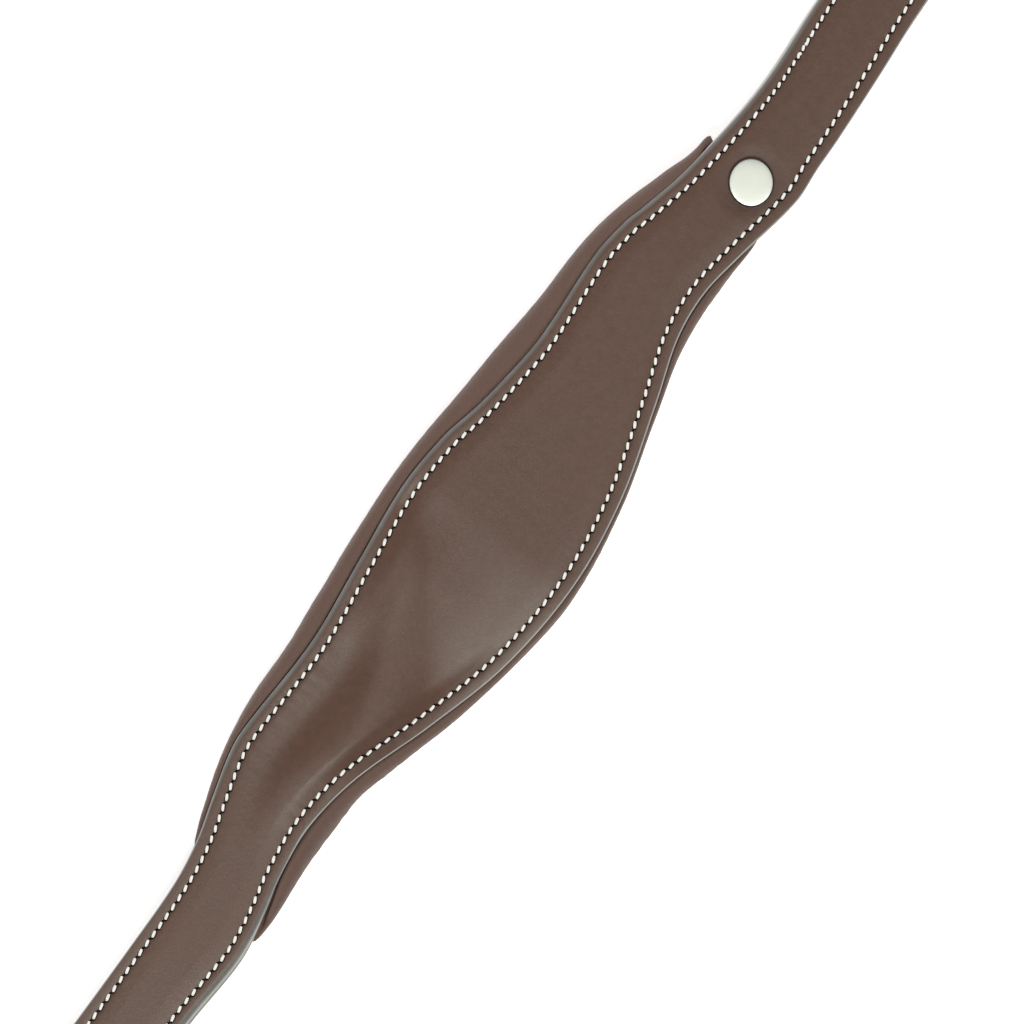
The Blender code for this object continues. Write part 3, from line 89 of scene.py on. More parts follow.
# Rings
RING_WIRE = 0.00275
CHIN_RING_WIRE = 0.003
RING_MEAN = 0.02525
CHIN_RING_MEAN = 0.027

# Layout seen from above
NOSE_ANGLE = 18.0
CHIN_ANGLE = -42.0
THROAT_ANGLE = -30.0

# Buckles, chapes and keepers
BUCKLE_WIRE = 0.0020
BAR_HOLLOW = BUCKLE_WIRE + CLEAR
BUCKLE_CORNER = 0.0042
BUCKLE_SIDE_PLAY = 0.0012
CROWN_BUCKLE_REACH = 0.030
CHIN_BUCKLE_REACH = 0.024
TONGUE_WIDTH = 0.0036
TONGUE_THICKNESS = 0.0024
TONGUE_SLOT = 0.0062
TONGUE_WRAP_FROM = 100.0
TONGUE_PAST_BAR = 0.0018
KEEPER_THICKNESS = 0.0019
KEEPER_CORNER = 0.0016
KEEPER_LENGTH = 0.010
KEEPER_SIDE_PLAY = 0.0004
STITCH_ROOM = 0.00025
KEEPER_EDGE = 0.0006
KEEPER_CREASE_FROM_EDGE = 0.0017
KEEPER_CREASE_DEPTH = 0.00016
KEEPER_CREASE_HALF = 0.0003
TONGUE_EDGE = 0.0038
TONGUE_TIP_RUN = 0.0016

FIXED_KEEPER_AT = 0.0145
CROWN_LOOSE_KEEPER_AT = 0.047
CHIN_LOOSE_KEEPER_AT = 0.0275

# Tongue's rise, as (lean ahead of its wrap in wrap radii, share of the height)
TONGUE_UNDER = ((0.0, 0.5), (0.1, 1.0))
TONGUE_THROUGH = ((0.3, 0.5), (0.6, 1.0))
TONGUE_OVER = ((1.15, 0.5), (2.1, 0.86), (3.5, 1.0))

# Crown, measured from the middle of its pad; "near" is towards the free end
CROWN_TOP = 0.0028
CROWN_LINING = 0.0016
LINING_INSET = 0.0005
LINING_CORNER = 0.0005
CUT_PAST = 0.001
HOLE_FIRST = 0.198
HOLE_PITCH = 0.022
HOLE_COUNT = 4
HOLE_LENGTH = 0.0082
HOLE_WIDTH = 0.0046
HOLE_FROM_BAR = 0.0048
TIP_LENGTH = 0.016
TIP_SQUARENESS = 2.6
TIP_LEAST_HALF = 0.0004
TIP_STEPS = (0.0, 0.00008, 0.0003, 0.0007, 0.0012, 0.0019, 0.0028, 0.0039, 0.0052, 0.0067, 0.0084, 0.0102,
             0.0121, 0.0140)

# How far the crown's edges lie outside those of a plain strap, as (along, out) points of a smooth curve;
# the front is the side with the ear cut-outs
FRONT_EDGE = (
    (-0.210, 0.0), (-0.158, 0.0006), (-0.137, 0.0020), (-0.128, 0.0014), (-0.119, -0.0001),
    (-0.110, -0.0021), (-0.094, -0.0036), (-0.076, -0.0010), (-0.052, 0.0071), (-0.026, 0.0142),
    (0.003, 0.0166), (0.030, 0.0133), (0.058, 0.0053), (0.076, -0.0004), (0.090, -0.0018),
    (0.104, 0.0), (0.126, 0.0039), (0.137, 0.0034), (0.147, 0.0032), (0.168, 0.0021),
    (0.187, 0.0008), (0.225, 0.0),
)
REAR_EDGE = (
    (-0.210, 0.0), (-0.150, 0.0), (-0.128, 0.0003), (-0.115, 0.0020), (-0.103, 0.0053),
    (-0.092, 0.0083), (-0.084, 0.0095), (-0.052, 0.0084), (-0.026, 0.0110), (-0.002, 0.0134),
    (0.016, 0.0123), (0.028, 0.0097), (0.040, 0.0079), (0.054, 0.0067), (0.082, 0.0079),
    (0.094, 0.0065), (0.100, 0.0048), (0.116, 0.0011), (0.146, -0.0021), (0.176, -0.0007),
    (0.225, 0.0),
)

# How far the pad's edges lie outside those of a plain strap
PAD_FRONT_EDGE = (
    (-0.130, 0.0034), (-0.118, 0.0034), (-0.104, 0.0024), (-0.090, 0.0025), (-0.079, 0.0030),
    (-0.066, 0.0065), (-0.040, 0.0134), (-0.003, 0.0186), (0.027, 0.0151), (0.055, 0.0075),
    (0.075, 0.0023),
    (0.095, 0.0010), (0.106, 0.0016), (0.116, 0.0024),
)
PAD_REAR_EDGE = (
    (-0.122, 0.0016), (-0.110, 0.0050), (-0.096, 0.0094), (-0.078, 0.0128), (-0.055, 0.0135),
    (-0.040, 0.0148), (-0.020, 0.0165), (0.003, 0.0175), (0.024, 0.0164), (0.045, 0.0148),
    (0.062, 0.0136), (0.078, 0.0130), (0.090, 0.0118), (0.100, 0.0096), (0.112, 0.0060),
    (0.125, 0.0026),
)

# Pads; their ends are a share of the full width, the run over which they narrow and each end's slant
PAD_RUN_OUT = 0.026
PAD_END_DEPTH = 0.0040
PAD_SLANT_RUN = 0.040
PAD_CLOSING = 0.003
CROWN_PAD_SPAN = (-0.1234, 0.1197)
CROWN_PAD_ENDS = (0.92, 0.007, (-0.42, -0.55))
CROWN_LIP = 0.0036
NOSE_PAD_ENDS = (0.62, 0.026, (0.0, 0.0))
NOSE_LIP = 0.0018
LIP_GAP = 0.00006
LIP_RISE = 0.0001
LIP_RUN = 0.006
PAD_ROLL = 0.006

# Noseband
NOSEBAND_LENGTH = 0.290
NOSEBAND_MIDDLE_WIDTH = 0.038
NOSEBAND_LEAN = 0.008
NOSEBAND_TURN_BACK = 0.036
NOSEBAND_TWIST_RUN = 0.075
NOSE_PAD_DEPTH = 0.0098
NOSE_PAD_FROM = 0.042
NOSE_PAD_END_WIDTH = 0.030
NOSE_PAD_MIDDLE_WIDTH = 0.047
ARCH_STEPS = 240

# Chin billet
CHIN_BILLET = 0.0026
CHIN_BILLET_RISE_FROM = 0.0125
CHIN_BILLET_RISE_TO = 0.0245
CHIN_TURN_BACK = 0.021
CHIN_EYE_FROM = 0.0135
CHIN_TAIL = 0.0375
CHIN_HOLE_PITCH = 0.017
CHIN_HOLE_COUNT = 3

# Jaw and throat
JAW_LENGTH = 0.134
THROAT_RADIUS = 0.0055
THROAT_PLAY_UP = 0.0017
THROAT_PLAY_ALONG = 0.0050
JAW_SEAM_BACK = 2.2 * THROAT_PLAY_ALONG
SLOPE_PLAY = 0.00015
TAB_LAYER = 0.0018
TAB_WIDTH = 0.0150
TAB_LENGTH = 0.030
TAB_START = 0.012
TAB_SEAM_FROM = 0.0135
TAB_SEAM_BACK = 0.0022
TAB_MARGIN_SHARE = 0.8
TAB_EDGE = 0.0005
THROAT_FLAT = 0.0030
THROAT_FLAT_PAST = 0.007
THROAT_INSET = 0.001
THROAT_ROUND_RUN = 0.014

# Throat strap's way on each side of the jaw strap's loop, as (x, y) from the loop's middle
THROAT_BEND_OFF = ((-0.060, 0.091), (-0.050, 0.059), (-0.042, 0.033), (-0.026, 0.0096))
THROAT_BEND_NEAR = ((0.026, 0.0096), (0.042, 0.0286), (0.0495, 0.0506))
THROAT_DROP_OFF = 0.12
THROAT_DROP_NEAR = 0.06
SNAP_WIRE = 0.0019

# Stud on the crown
STUD_ALONG = 0.123
STUD_ACROSS = 0.003
STUD_RADIUS = 0.0065
STUD_CAP = 0.0016
STUD_RIM = 0.0004
STUD_OVAL = (0.977, 1.046)
RIVET_RADIUS = 0.0015
RIVET_HEAD = 0.0027
RIVET_HEAD_THICKNESS = 0.0008
WASHER_THICKNESS = 0.0008
RIVET_HEAD_ROUND = 0.0003
STUD_FOOT_ROUND = 0.0002
STUD_SHOULDER = 0.0009
STUD_SHOULDER_RISE = 0.0008
STUD_DOME = 0.0001
STUD_TURNS = 96

# Distances from a strap's edge at which its skin has a row of points
EDGE_ROWS = (0.0019, 0.0025, 0.0030, 0.0034, 0.0038, 0.0042, 0.0047, 0.0054, 0.0065, 0.0082)
CORNER_TURNS = 6
UNDER_ROWS = 7
INNER_ROWS = 9
CROWN_INNER_ROWS = 22
NOSEBAND_INNER_ROWS = 16
TUBE_SIDES = 20

# Steps along the pieces' skins and seams
TONGUE_STEP = 0.0006
METAL_STEP = 0.0008
FINE_STEP = 0.0009
STRAP_STEP = 0.0011
NOSEBAND_STEP = 0.0013
THROAT_STEP = 0.0014
CROWN_SEAM_STEP = 0.0015
NOSE_PAD_STEP = 0.0016
COARSE_STEP = 0.003
SLOPE_STEP = 0.0006

# Smooth curve through points: steps from one to the next, and the most that its lead may be of the gap
CURVE_STEPS = 12
LEAD_LIMIT = 1.2
TINY = 1e-9


def smooth(share):
    """Ease from 0 to 1 as share goes from 0 to 1."""
    share = min(max(share, 0.0), 1.0)
    return share * share * (3.0 - 2.0 * share)


def mix(low, high, share):
    """Value between low and high."""
    return low + (high - low) * share


def spread(start, end, count):
    """Evenly spaced values, both ends included."""
    return [mix(start, end, i / (count - 1)) for i in range(count)]


def through(points, along):
    """Read a smooth curve that passes through (along, across) points and is level past its ends."""
    if along <= points[0][0]:
        return points[0][1]
    if along >= points[-1][0]:
        return points[-1][1]
    slopes = [0.0]
    for before, after in zip(points, points[2:]):
        slopes.append((after[1] - before[1]) / (after[0] - before[0]))
    slopes.append(0.0)
    index = 0
    while along > points[index + 1][0]:
        index += 1
    start, end = points[index], points[index + 1]
    span = end[0] - start[0]
    t = (along - start[0]) / span
    value = (2 * t ** 3 - 3 * t ** 2 + 1) * start[1] + (3 * t ** 2 - 2 * t ** 3) * end[1]
    value += (t ** 3 - 2 * t ** 2 + t) * span * slopes[index]
    value += (t ** 3 - t ** 2) * span * slopes[index + 1]
    return value


def cloud(*place):
    """Smooth noise at a place."""
    return noise.noise(Vector(place))


def middle(node):
    """Middle of a solid's box."""
    low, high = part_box(node)
    return (low + high) / 2


def joint_named(name):
    """One of the frame's joints."""
    return next(joint for joint in frame["joints"] if joint["name"] == name)


def joint_at(name):
    """Where a joint's axis is."""
    return Vector(joint_named(name)["pos_m"])


def polar(centre, radius, angle_deg):
    """Point at the rings' level, off a centre seen from above."""
    turn = math.radians(angle_deg)
    return Vector((centre.x + radius * math.cos(turn), centre.y + radius * math.sin(turn), RING_LEVEL))


def bow(ring_radius, width):
    """How far a ring's wire bows across a fold of a width."""
    return ring_radius - math.sqrt(ring_radius ** 2 - (width / 2) ** 2)


def ring_hollow(mean, wire_radius, width):
    """Radius that clears a ring's wire all round a fold of a width."""
    slant = math.cos(math.asin(width / 2 / mean))
    return bow(mean, width) / 2 + wire_radius / slant + CLEAR


# Places read from the frame
OFF_LOWER = middle("off_lower_ring")
NEAR_LOWER = middle("near_lower_ring")
OFF_UPPER = middle("off_upper_ring")
NEAR_UPPER = middle("near_upper_ring")
CHIN_RING = middle("chin_ring")
RING_LEVEL = joint_at("off_cheek_fold").z
RING_REACH = (joint_at("off_cheek_fold") - OFF_LOWER).y
SIDE_REACH = RING_MEAN - bow(RING_MEAN, SIDE_FOLD_WIDTH) / 2
CHIN_REACH = CHIN_RING_MEAN - bow(CHIN_RING_MEAN, SIDE_FOLD_WIDTH) / 2
RING_HOLLOW = ring_hollow(RING_MEAN, RING_WIRE, RING_FOLD_WIDTH)
SIDE_HOLLOW = ring_hollow(RING_MEAN, RING_WIRE, SIDE_FOLD_WIDTH)
CHIN_HOLLOW = ring_hollow(CHIN_RING_MEAN, CHIN_RING_WIRE, SIDE_FOLD_WIDTH)
CROWN_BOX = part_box("crown_top_leather")
CROWN_LENGTH = CROWN_BOX[1].y - CROWN_BOX[0].y
CROWN_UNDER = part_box("crown_lining")[0].z
CROWN_STACK = CROWN_LINING + CLEAR + CROWN_TOP
CROWN_MIDDLE = Vector((OFF_UPPER.x, middle("crown_top_leather").y, CROWN_UNDER))
CROWN_FACE = CROWN_UNDER + CROWN_STACK
BILLET_LEVEL = CROWN_UNDER - RING_LEVEL
PAD_DEPTH = CROWN_UNDER - CLEAR
CHIN_RUN = (CHIN_RING - NEAR_LOWER).xy.length - SIDE_REACH - CHIN_REACH
CROWN_CHAPE = (joint_at("near_buckle_swing") - joint_at("near_chape_fold")).y
CHIN_CHAPE = (joint_at("chin_tongue_lift") - NEAR_LOWER).xy.length - SIDE_REACH


# Settings

def colour_setting(name, description, default):
    """Setting for a colour."""
    return FloatVectorProperty(
        name=name, description=description, default=default, subtype="COLOR", min=0.0, max=1.0)


def length_setting(name, description, default, least, most):
    """Setting for a length in metres."""
    return FloatProperty(
        name=name, description=description, default=default, min=least, max=most, unit="LENGTH")


class LeatherSettings(bpy.types.PropertyGroup):
    """Colours and grain of the leathers."""

    bridle: colour_setting(
        "Bridle leather", "Colour of the straps' smooth face",
        (0.0825, 0.0390, 0.0265))
    warm: colour_setting(
        "Warm patches", "Redder colour that shows through in patches",
        (0.0865, 0.0385, 0.0250))
    edge: colour_setting("Edge paint", "Colour of the painted edges", (0.135, 0.130, 0.126))
    # Painted highlight: colour of the thin light line painted on an edge's rounding
    painted_edge_highlight: colour_setting(
        "Painted edge highlight", "Colour of the thin bright line on a crisp edge",
        (0.46, 0.43, 0.41))
    pad: colour_setting("Pad leather", "Colour of the soft leather on the pads", (0.122, 0.067, 0.052))
    lining: colour_setting("Lining leather", "Colour of the under leather", (0.105, 0.057, 0.041))
    roughness: FloatProperty(
        name="Roughness", description="Roughness of the straps' face", default=0.40, min=0.0, max=1.0)


class StitchSettings(bpy.types.PropertyGroup):
    """Sizes and colour of the saddle stitching."""

    thread: colour_setting("Thread", "Colour of the thread", (0.97, 0.96, 0.93))
    pitch: length_setting("Pitch", "Length from one stitch to the next", 0.0031, 0.0015, 0.01)
    length: length_setting("Length", "Length of a stitch that shows", 0.0027, 0.001, 0.01)
    width: length_setting("Width", "Width of the thread as it lies", 0.00098, 0.0002, 0.002)
    slant: FloatProperty(
        name="Slant", description="Turn of a stitch from the line of its seam",
        default=math.radians(14.0), min=0.0, max=0.6, unit="ROTATION")
    margin: length_setting("Margin", "From a strap's edge to its stitching", 0.0038, 0.001, 0.01)
    groove: length_setting(
        "Groove", "Depth that the stitching is drawn into the leather",
        0.00022, 0.0, 0.001)


class ShapeSettings(bpy.types.PropertyGroup):
    """How far the leather stands and creases."""

    dome: length_setting(
        "Dome", "Rise of the crown between its seams, over the pad",
        0.0004, 0.0, 0.004)
    strap_dome: length_setting(
        "Strap dome", "Rise of a plain strap between its seams",
        0.00022, 0.0, 0.002)
    crest: length_setting(
        "Crest", "Rise of the crown's off half along its crest",
        0.0016, 0.0, 0.004)
    valley: length_setting("Valley", "Dip of the crown's off half behind its crest", 0.0011, 0.0, 0.002)
    pucker: length_setting(
        "Pucker", "Height of the fine wrinkles that the stitching draws",
        0.00015, 0.0, 0.0005)
    pad_fill: FloatProperty(
        name="Pad fill", description="How full the pads are", default=0.8, min=0.0, max=1.0)


class HardwareSettings(bpy.types.PropertyGroup):
    """Colours of the metal."""

    nickel: colour_setting("Nickel", "Colour of the plated rings, buckles and snap", (0.78, 0.77, 0.74))
    stud: colour_setting("Stud", "Colour of the stud's satin face", (0.67, 0.68, 0.64))
    steel: colour_setting("Spring steel", "Colour of the snap's spring", (0.50, 0.50, 0.52))
    ring_turns: IntProperty(
        name="Ring steps", description="Steps round a ring", default=96, min=24, max=256)


class StageSettings(bpy.types.PropertyGroup):
    """Camera, floor and light."""

    lens: FloatProperty(name="Lens", description="Focal length in millimetres", default=300.0, min=20.0)
    span: length_setting("Span", "Width that the view takes in, at the crown's face", 0.2844, 0.05, 3.0)
    turn: FloatProperty(
        name="Turn", description="Turn of the view about the vertical",
        default=math.radians(35.98), unit="ROTATION")
    key: FloatProperty(
        name="Key light", description="Power of the soft light above the crown's off end", default=104.0,
        min=0.0, unit="POWER")
    fill: FloatProperty(
        name="Fill light", description="Power of the soft light from the other side", default=84.0,
        min=0.0, unit="POWER")
    sky: FloatProperty(
        name="Sky", description="Strength of the light all round", default=0.40, min=0.0)
    floor_glow: FloatProperty(
        name="Floor glow", description="Light that the pale floor gives off by itself",
        default=0.55, min=0.0)


class HalterSettings(bpy.types.PropertyGroup):
    """Everything about the halter that a user can change."""

    leather: PointerProperty(type=LeatherSettings)
    stitch: PointerProperty(type=StitchSettings)
    shape: PointerProperty(type=ShapeSettings)
    hardware: PointerProperty(type=HardwareSettings)
    stage: PointerProperty(type=StageSettings)


def halter():
    """The scene's settings for the halter."""
    return bpy.context.scene.halter


# Materials

class Value:
    """A shader value; arithmetic on it adds the Math nodes."""

    def __init__(self, finish, socket):
        self.finish = finish
        self.socket = socket

    def math(self, operation, first, second):
        """One Math node."""
        return self.finish.node("Math", {"operation": operation}, {0: first, 1: second})

    def __add__(self, other):
        return self.math("ADD", self, other)

    __radd__ = __add__

    def __sub__(self, other):
        return self.math("SUBTRACT", self, other)

    def __rsub__(self, other):
        return self.math("SUBTRACT", other, self)

    def __mul__(self, other):
        return self.math("MULTIPLY", self, other)

    __rmul__ = __mul__

    def __pow__(self, other):
        return self.math("POWER", self, other)


class Finish:
    """One procedural material, written as expressions."""

    def __init__(self, name):
        self.material = bpy.data.materials.new(name)
        self.material.use_nodes = True
        self.tree = self.material.node_tree
        self.shader = self.tree.nodes["Principled BSDF"]

    def feed(self, socket, value):
        """Link a value to a socket, or set the socket to a constant."""
        if isinstance(value, Value):
            self.tree.links.new(value.socket, socket)
        else:
            socket.default_value = value

    def node(self, kind, settings=None, inputs=None, output=0):
        """Add a node: its settings first, then its sockets' values or links; gives one output."""
        made = self.tree.nodes.new("ShaderNode" + kind)
        for key, value in (settings or {}).items():
            if key == "stops":
                ramp = made.color_ramp.elements
                while len(ramp) < len(value):
                    ramp.new(0.5)
                for stop, (place, shade) in zip(ramp, value):
                    stop.position = place
                    stop.color = (shade, shade, shade, 1.0)
            else:
                setattr(made, key, value)
        for key, value in (inputs or {}).items():
            self.feed(made.inputs[key], value)
        return Value(self, made.outputs[output])

    def set(self, **inputs):
        """Feed the shader's own sockets."""
        for name, value in inputs.items():
            self.feed(self.shader.inputs[name.replace("_", " ")], value)

    def blend(self, share, first, second):
        """Colour between two colours."""
        return self.node("Mix", {"data_type": "RGBA"}, {0: share, 6: first, 7: second}, output=2)

    def shade(self, colour, grey):
        """A colour made lighter or darker by a grey."""
        return self.node("VectorMath", {"operation": "MULTIPLY"}, {0: colour, 1: grey})

    def place(self, scale=(1.0, 1.0, 1.0)):
        """Object coordinates, stretched."""
        spot = self.node("TexCoord", output=3)
        return self.node("Mapping", {}, {"Vector": spot, "Scale": scale})

    def noise(self, scale, detail=2.0, rough=0.5, spot=None, lift=0.0):
        """Cloudy noise from 0 to 1."""
        inputs = {"Vector": spot or self.place(), "Scale": scale, "Detail": detail, "Roughness": rough}
        return self.node("TexNoise", {"noise_dimensions": "3D"}, {**inputs, "Distortion": lift})

    def cells(self, scale, spot=None, feature="DISTANCE_TO_EDGE"):
        """Distance in a cell pattern."""
        inputs = {"Vector": spot or self.place(), "Scale": scale}
        return self.node("TexVoronoi", {"feature": feature}, inputs)

    def ramp(self, value, *stops):
        """Grey ramp through (place, shade) stops."""
        return self.node("ValToRGB", {"stops": stops}, {0: value})

    def read(self, attribute):
        """A piece's own attribute as a number."""
        return self.node("Attribute", {"attribute_name": attribute}, output=2)

    def bump(self, height, depth, normal=None):
        """Bump from a height from 0 to 1 that stands for a depth in metres."""
        inputs = {"Height": height, "Distance": depth, "Strength": 1.0}
        if normal:
            inputs["Normal"] = normal
        return self.node("Bump", {}, inputs)


def rgba(colour):
    """A colour with full alpha."""
    return (*colour, 1.0)


WORN_EDGE_LIGHTER = 1.5
PEBBLE_DARKER = 0.86


def bridle_leather(name, settings, colour, warm):
    """Smooth waxed leather: fine pores, faint mottling, edge paint where "edge" is 1, painted highlight
    above.
    """
    finish = Finish(name)
    clouds = finish.noise(26.0, 3.0, 0.55)
    fine = finish.noise(420.0, 3.0, 0.6)
    edge = finish.read("edge")
    tint = finish.blend(finish.ramp(clouds, (0.38, 0.0), (0.66, 1.0)), rgba(colour), rgba(warm))
    grain = finish.ramp(fine, (0.30, 0.90), (0.70, 1.06))
    tint = finish.shade(tint, grain)
    worn = finish.ramp(finish.noise(130.0, 4.0, 0.6), (0.45, 0.0), (0.75, 0.55))
    pale_edge = [c * WORN_EDGE_LIGHTER for c in settings.leather.edge]
    paint_and_highlight = finish.blend(worn, rgba(settings.leather.edge), rgba(pale_edge))
    # Painted highlight: where "edge" is above 1, a light line along the edge's rounding
    paint_and_highlight = finish.blend(edge - 1.0, paint_and_highlight, rgba(settings.leather.painted_edge_highlight))
    finish.set(Base_Color=finish.blend(edge, tint, paint_and_highlight))
    gloss = settings.leather.roughness + 0.10 * (fine - 0.5) + 0.12 * (clouds - 0.5)
    finish.set(Roughness=gloss - 0.06 * edge)
    pores = finish.ramp(finish.cells(1900.0), (0.0, 0.0), (0.10, 1.0))
    skin = finish.bump(finish.noise(900.0, 3.0, 0.6), 0.00003)
    finish.set(Normal=finish.bump(pores, 0.000012, skin))
    finish.set(Specular_IOR_Level=0.42)
    return finish.material


def soft_leather(name, colour):
    """Soft matte leather with a pebbled grain and small creases."""
    finish = Finish(name)
    pebbles = finish.ramp(finish.cells(1700.0), (0.0, 0.0), (0.25, 1.0))
    clouds = finish.noise(60.0, 4.0, 0.6)
    shade = finish.ramp(clouds, (0.3, 0.88), (0.7, 1.08))
    tint = finish.shade(tuple(colour), shade)
    deep = finish.blend(pebbles, rgba([c * PEBBLE_DARKER for c in colour]), tint)
    finish.set(Base_Color=deep, Roughness=0.62 + 0.12 * (clouds - 0.5))
    creases = finish.bump(finish.noise(420.0, 4.0, 0.65), 0.00012)
    finish.set(Normal=finish.bump(pebbles, 0.00005, creases), Specular_IOR_Level=0.38)
    return finish.material


def linen_thread(name, colour):
    """Waxed thread whose strands wind along each stitch."""
    finish = Finish(name)
    spot = finish.node("UVMap", {"uv_map": "strands"})
    turned = finish.node(
        "Mapping", {}, {"Vector": spot, "Rotation": (0.0, 0.0, 0.6), "Scale": (3.0, 4.0, 1.0)})
    strands = finish.node(
        "TexWave", {"wave_type": "BANDS", "bands_direction": "X", "wave_profile": "SIN"},
        {"Vector": turned, "Scale": 1.0}, output=1)
    fuzz = finish.noise(2500.0, 2.0, 0.6)
    shade = finish.ramp(strands, (0.0, 0.90), (0.6, 1.0))
    finish.set(Base_Color=finish.shade(tuple(colour), shade))
    finish.set(Roughness=0.55 + 0.2 * fuzz, Normal=finish.bump(strands, 0.00008))
    return finish.material


def painted_stitch_shade(name):
    """Near-black painted shade: the slit that the thread goes down and the shadow disc round each stitch.
    """
    finish = Finish(name)
    depth = finish.noise(900.0, 2.0, 0.5)
    finish.set(Base_Color=finish.blend(depth, (0.004, 0.003, 0.003, 1.0), (0.016, 0.010, 0.008, 1.0)))
    finish.set(Roughness=0.85 + 0.1 * depth, Specular_IOR_Level=0.1)
    return finish.material


def plated_metal(name, colour, roughness, brushed=0.0):
    """Plated metal with a faint haze and hairline scratches."""
    finish = Finish(name)
    haze = finish.noise(90.0, 4.0, 0.6)
    lines = finish.noise(700.0, 2.0, 0.5, spot=finish.place((1.0, 14.0, 1.0)))
    shade = finish.ramp(haze, (0.35, 0.93), (0.65, 1.0))
    finish.set(Base_Color=finish.shade(tuple(colour), shade))
    finish.set(Metallic=1.0, Roughness=roughness + 0.10 * (haze - 0.4) + 0.08 * (lines - 0.5))
    finish.set(Normal=finish.bump(lines, 0.000004 + brushed))
    return finish.material


def floor_finish(name, glow):
    """Plain white floor that is a little brighter than the light on it makes it."""
    finish = Finish(name)
    speck = finish.noise(40.0, 2.0, 0.5)
    shade = finish.ramp(speck, (0.3, 0.90), (0.7, 0.92))
    finish.set(Base_Color=shade, Roughness=0.9)
    finish.set(Emission_Color=(1.0, 1.0, 1.0, 1.0), Emission_Strength=glow)
    return finish.material


class Finishes:
    """The halter's materials, each made once."""

    made = {}

    @classmethod
    def get(cls, name):
        """Material by its name, made on first use."""
        if name not in cls.made:
            cls.made[name] = cls.make(name)
        return cls.made[name]

    @staticmethod
    def make(name):
        """Make one of the halter's materials from the settings."""
        settings = halter()
        leather, hardware = settings.leather, settings.hardware
        makers = {
            "bridle_leather": lambda: bridle_leather(name, settings, leather.bridle, leather.warm),
            "lining_leather": lambda: bridle_leather(name, settings, leather.lining, leather.lining),
            "pad_leather": lambda: soft_leather(name, leather.pad),
            "thread": lambda: linen_thread(name, settings.stitch.thread),
            "painted_stitch_shade": lambda: painted_stitch_shade(name),
            "nickel_plate": lambda: plated_metal(name, hardware.nickel, 0.17),
            "satin_nickel": lambda: plated_metal(name, hardware.stud, 0.42, 0.00001),
            "stud_rim_painted_shade": lambda: plated_metal(name, (0.10, 0.10, 0.10), 0.35),
            "spring_steel": lambda: plated_metal(name, hardware.steel, 0.30),
            "floor": lambda: floor_finish(name, settings.stage.floor_glow),
        }
        return makers[name]()


# Meshes

def to_mesh(name, bm):
    """Turn a bmesh into a mesh."""
    mesh = bpy.data.meshes.new(name)
    bm.to_mesh(mesh)
    bm.free()
    return mesh


def add_object(name, data):
    """Put a new object into the scene."""
    made = bpy.data.objects.new(name, data)
    bpy.context.scene.collection.objects.link(made)
    return made


def finish_piece(name, bm, body, slot, *nodes, materials=()):
    """Turn a bmesh into a piece that rides on a body and stands for some solids."""
    mesh = to_mesh(name, bm)
    for material in materials or (slot,):
        mesh.materials.append(Finishes.get(material))
    mesh.shade_smooth()
    piece = add_object(name, mesh)
    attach(piece, body)
    if nodes:
        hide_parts(*nodes)
    return piece


def skin(columns, rows, place, closed=False):
    """Skin wrapped round a piece: place(column, row) gives its point, edge share and place on its map."""
    bm = bmesh.new()
    bmesh.ops.create_grid(bm, x_segments=columns, y_segments=rows, size=0.5)
    edge = bm.verts.layers.float.new("edge")
    chart = bm.loops.layers.uv.new("strap")
    spots = {}
    for vert in bm.verts:
        column = round((vert.co.x + 0.5) * columns)
        row = round((vert.co.y + 0.5) * rows)
        vert.co, vert[edge], spots[vert] = place(column, row)
    for face in bm.faces:
        for loop in face.loops:
            loop[chart].uv = spots[loop.vert]
    bmesh.ops.remove_doubles(bm, verts=bm.verts, dist=1e-7)
    if not closed:
        bmesh.ops.holes_fill(bm, edges=[line for line in bm.edges if line.is_boundary], sides=0)
    bmesh.ops.recalc_face_normals(bm, faces=bm.faces)
    return bm


def walk(points):
    """Length walked along a path to each of its points."""
    walked = [0.0]
    for start, end in zip(points, points[1:]):
        walked.append(walked[-1] + (end - start).length)
    return walked


def headings(path, closed=False):
    """Direction of a path at each of its points; a closed one ends on its start."""
    last = len(path) - 1
    for i in range(len(path)):
        before = path[i - 1] if i else path[last - 1] if closed else path[0]
        after = path[i + 1] if i < last else path[1] if closed else path[last]
        yield (after - before).normalized()


def even_path(points, spacing, closed=False):
    """Evenly spaced points of a smooth curve through some points; a closed one ends on its start."""
    points = [Vector(point) for point in points]
    count = len(points)
    fine = []
    for i in range(count if closed else count - 1):
        before = points[(i - 1) % count] if closed or i else points[0]
        start, end = points[i], points[(i + 1) % count]
        after = points[(i + 2) % count] if closed or i < count - 2 else points[-1]
        leave, arrive = (end - before) / 2, (after - start) / 2
        reach = (end - start).length
        leave *= min(1.0, LEAD_LIMIT * reach / max(leave.length, TINY))
        arrive *= min(1.0, LEAD_LIMIT * reach / max(arrive.length, TINY))
        for t in spread(0.0, 1.0, CURVE_STEPS + 1)[:-1]:
            fine.append(
                start * (2 * t ** 3 - 3 * t ** 2 + 1) + end * (3 * t ** 2 - 2 * t ** 3)
                + leave * (t ** 3 - 2 * t ** 2 + t) + arrive * (t ** 3 - t ** 2)
            )
    fine.append(points[0] if closed else points[-1])
    walked = walk(fine)
    steps = max(round(walked[-1] / spacing), 3)
    path = []
    index = 0
    for step in range(steps + 1):
        goal = walked[-1] * step / steps
        while index < len(fine) - 2 and walked[index + 1] < goal:
            index += 1
        span = walked[index + 1] - walked[index]
        path.append(fine[index].lerp(fine[index + 1], (goal - walked[index]) / span if span else 0.0))
    return path


def normals(path, closed=False):
    """Left-hand normals along an (along, up) path."""
    return [Vector((-run.y, run.x)) for run in headings(path, closed)]
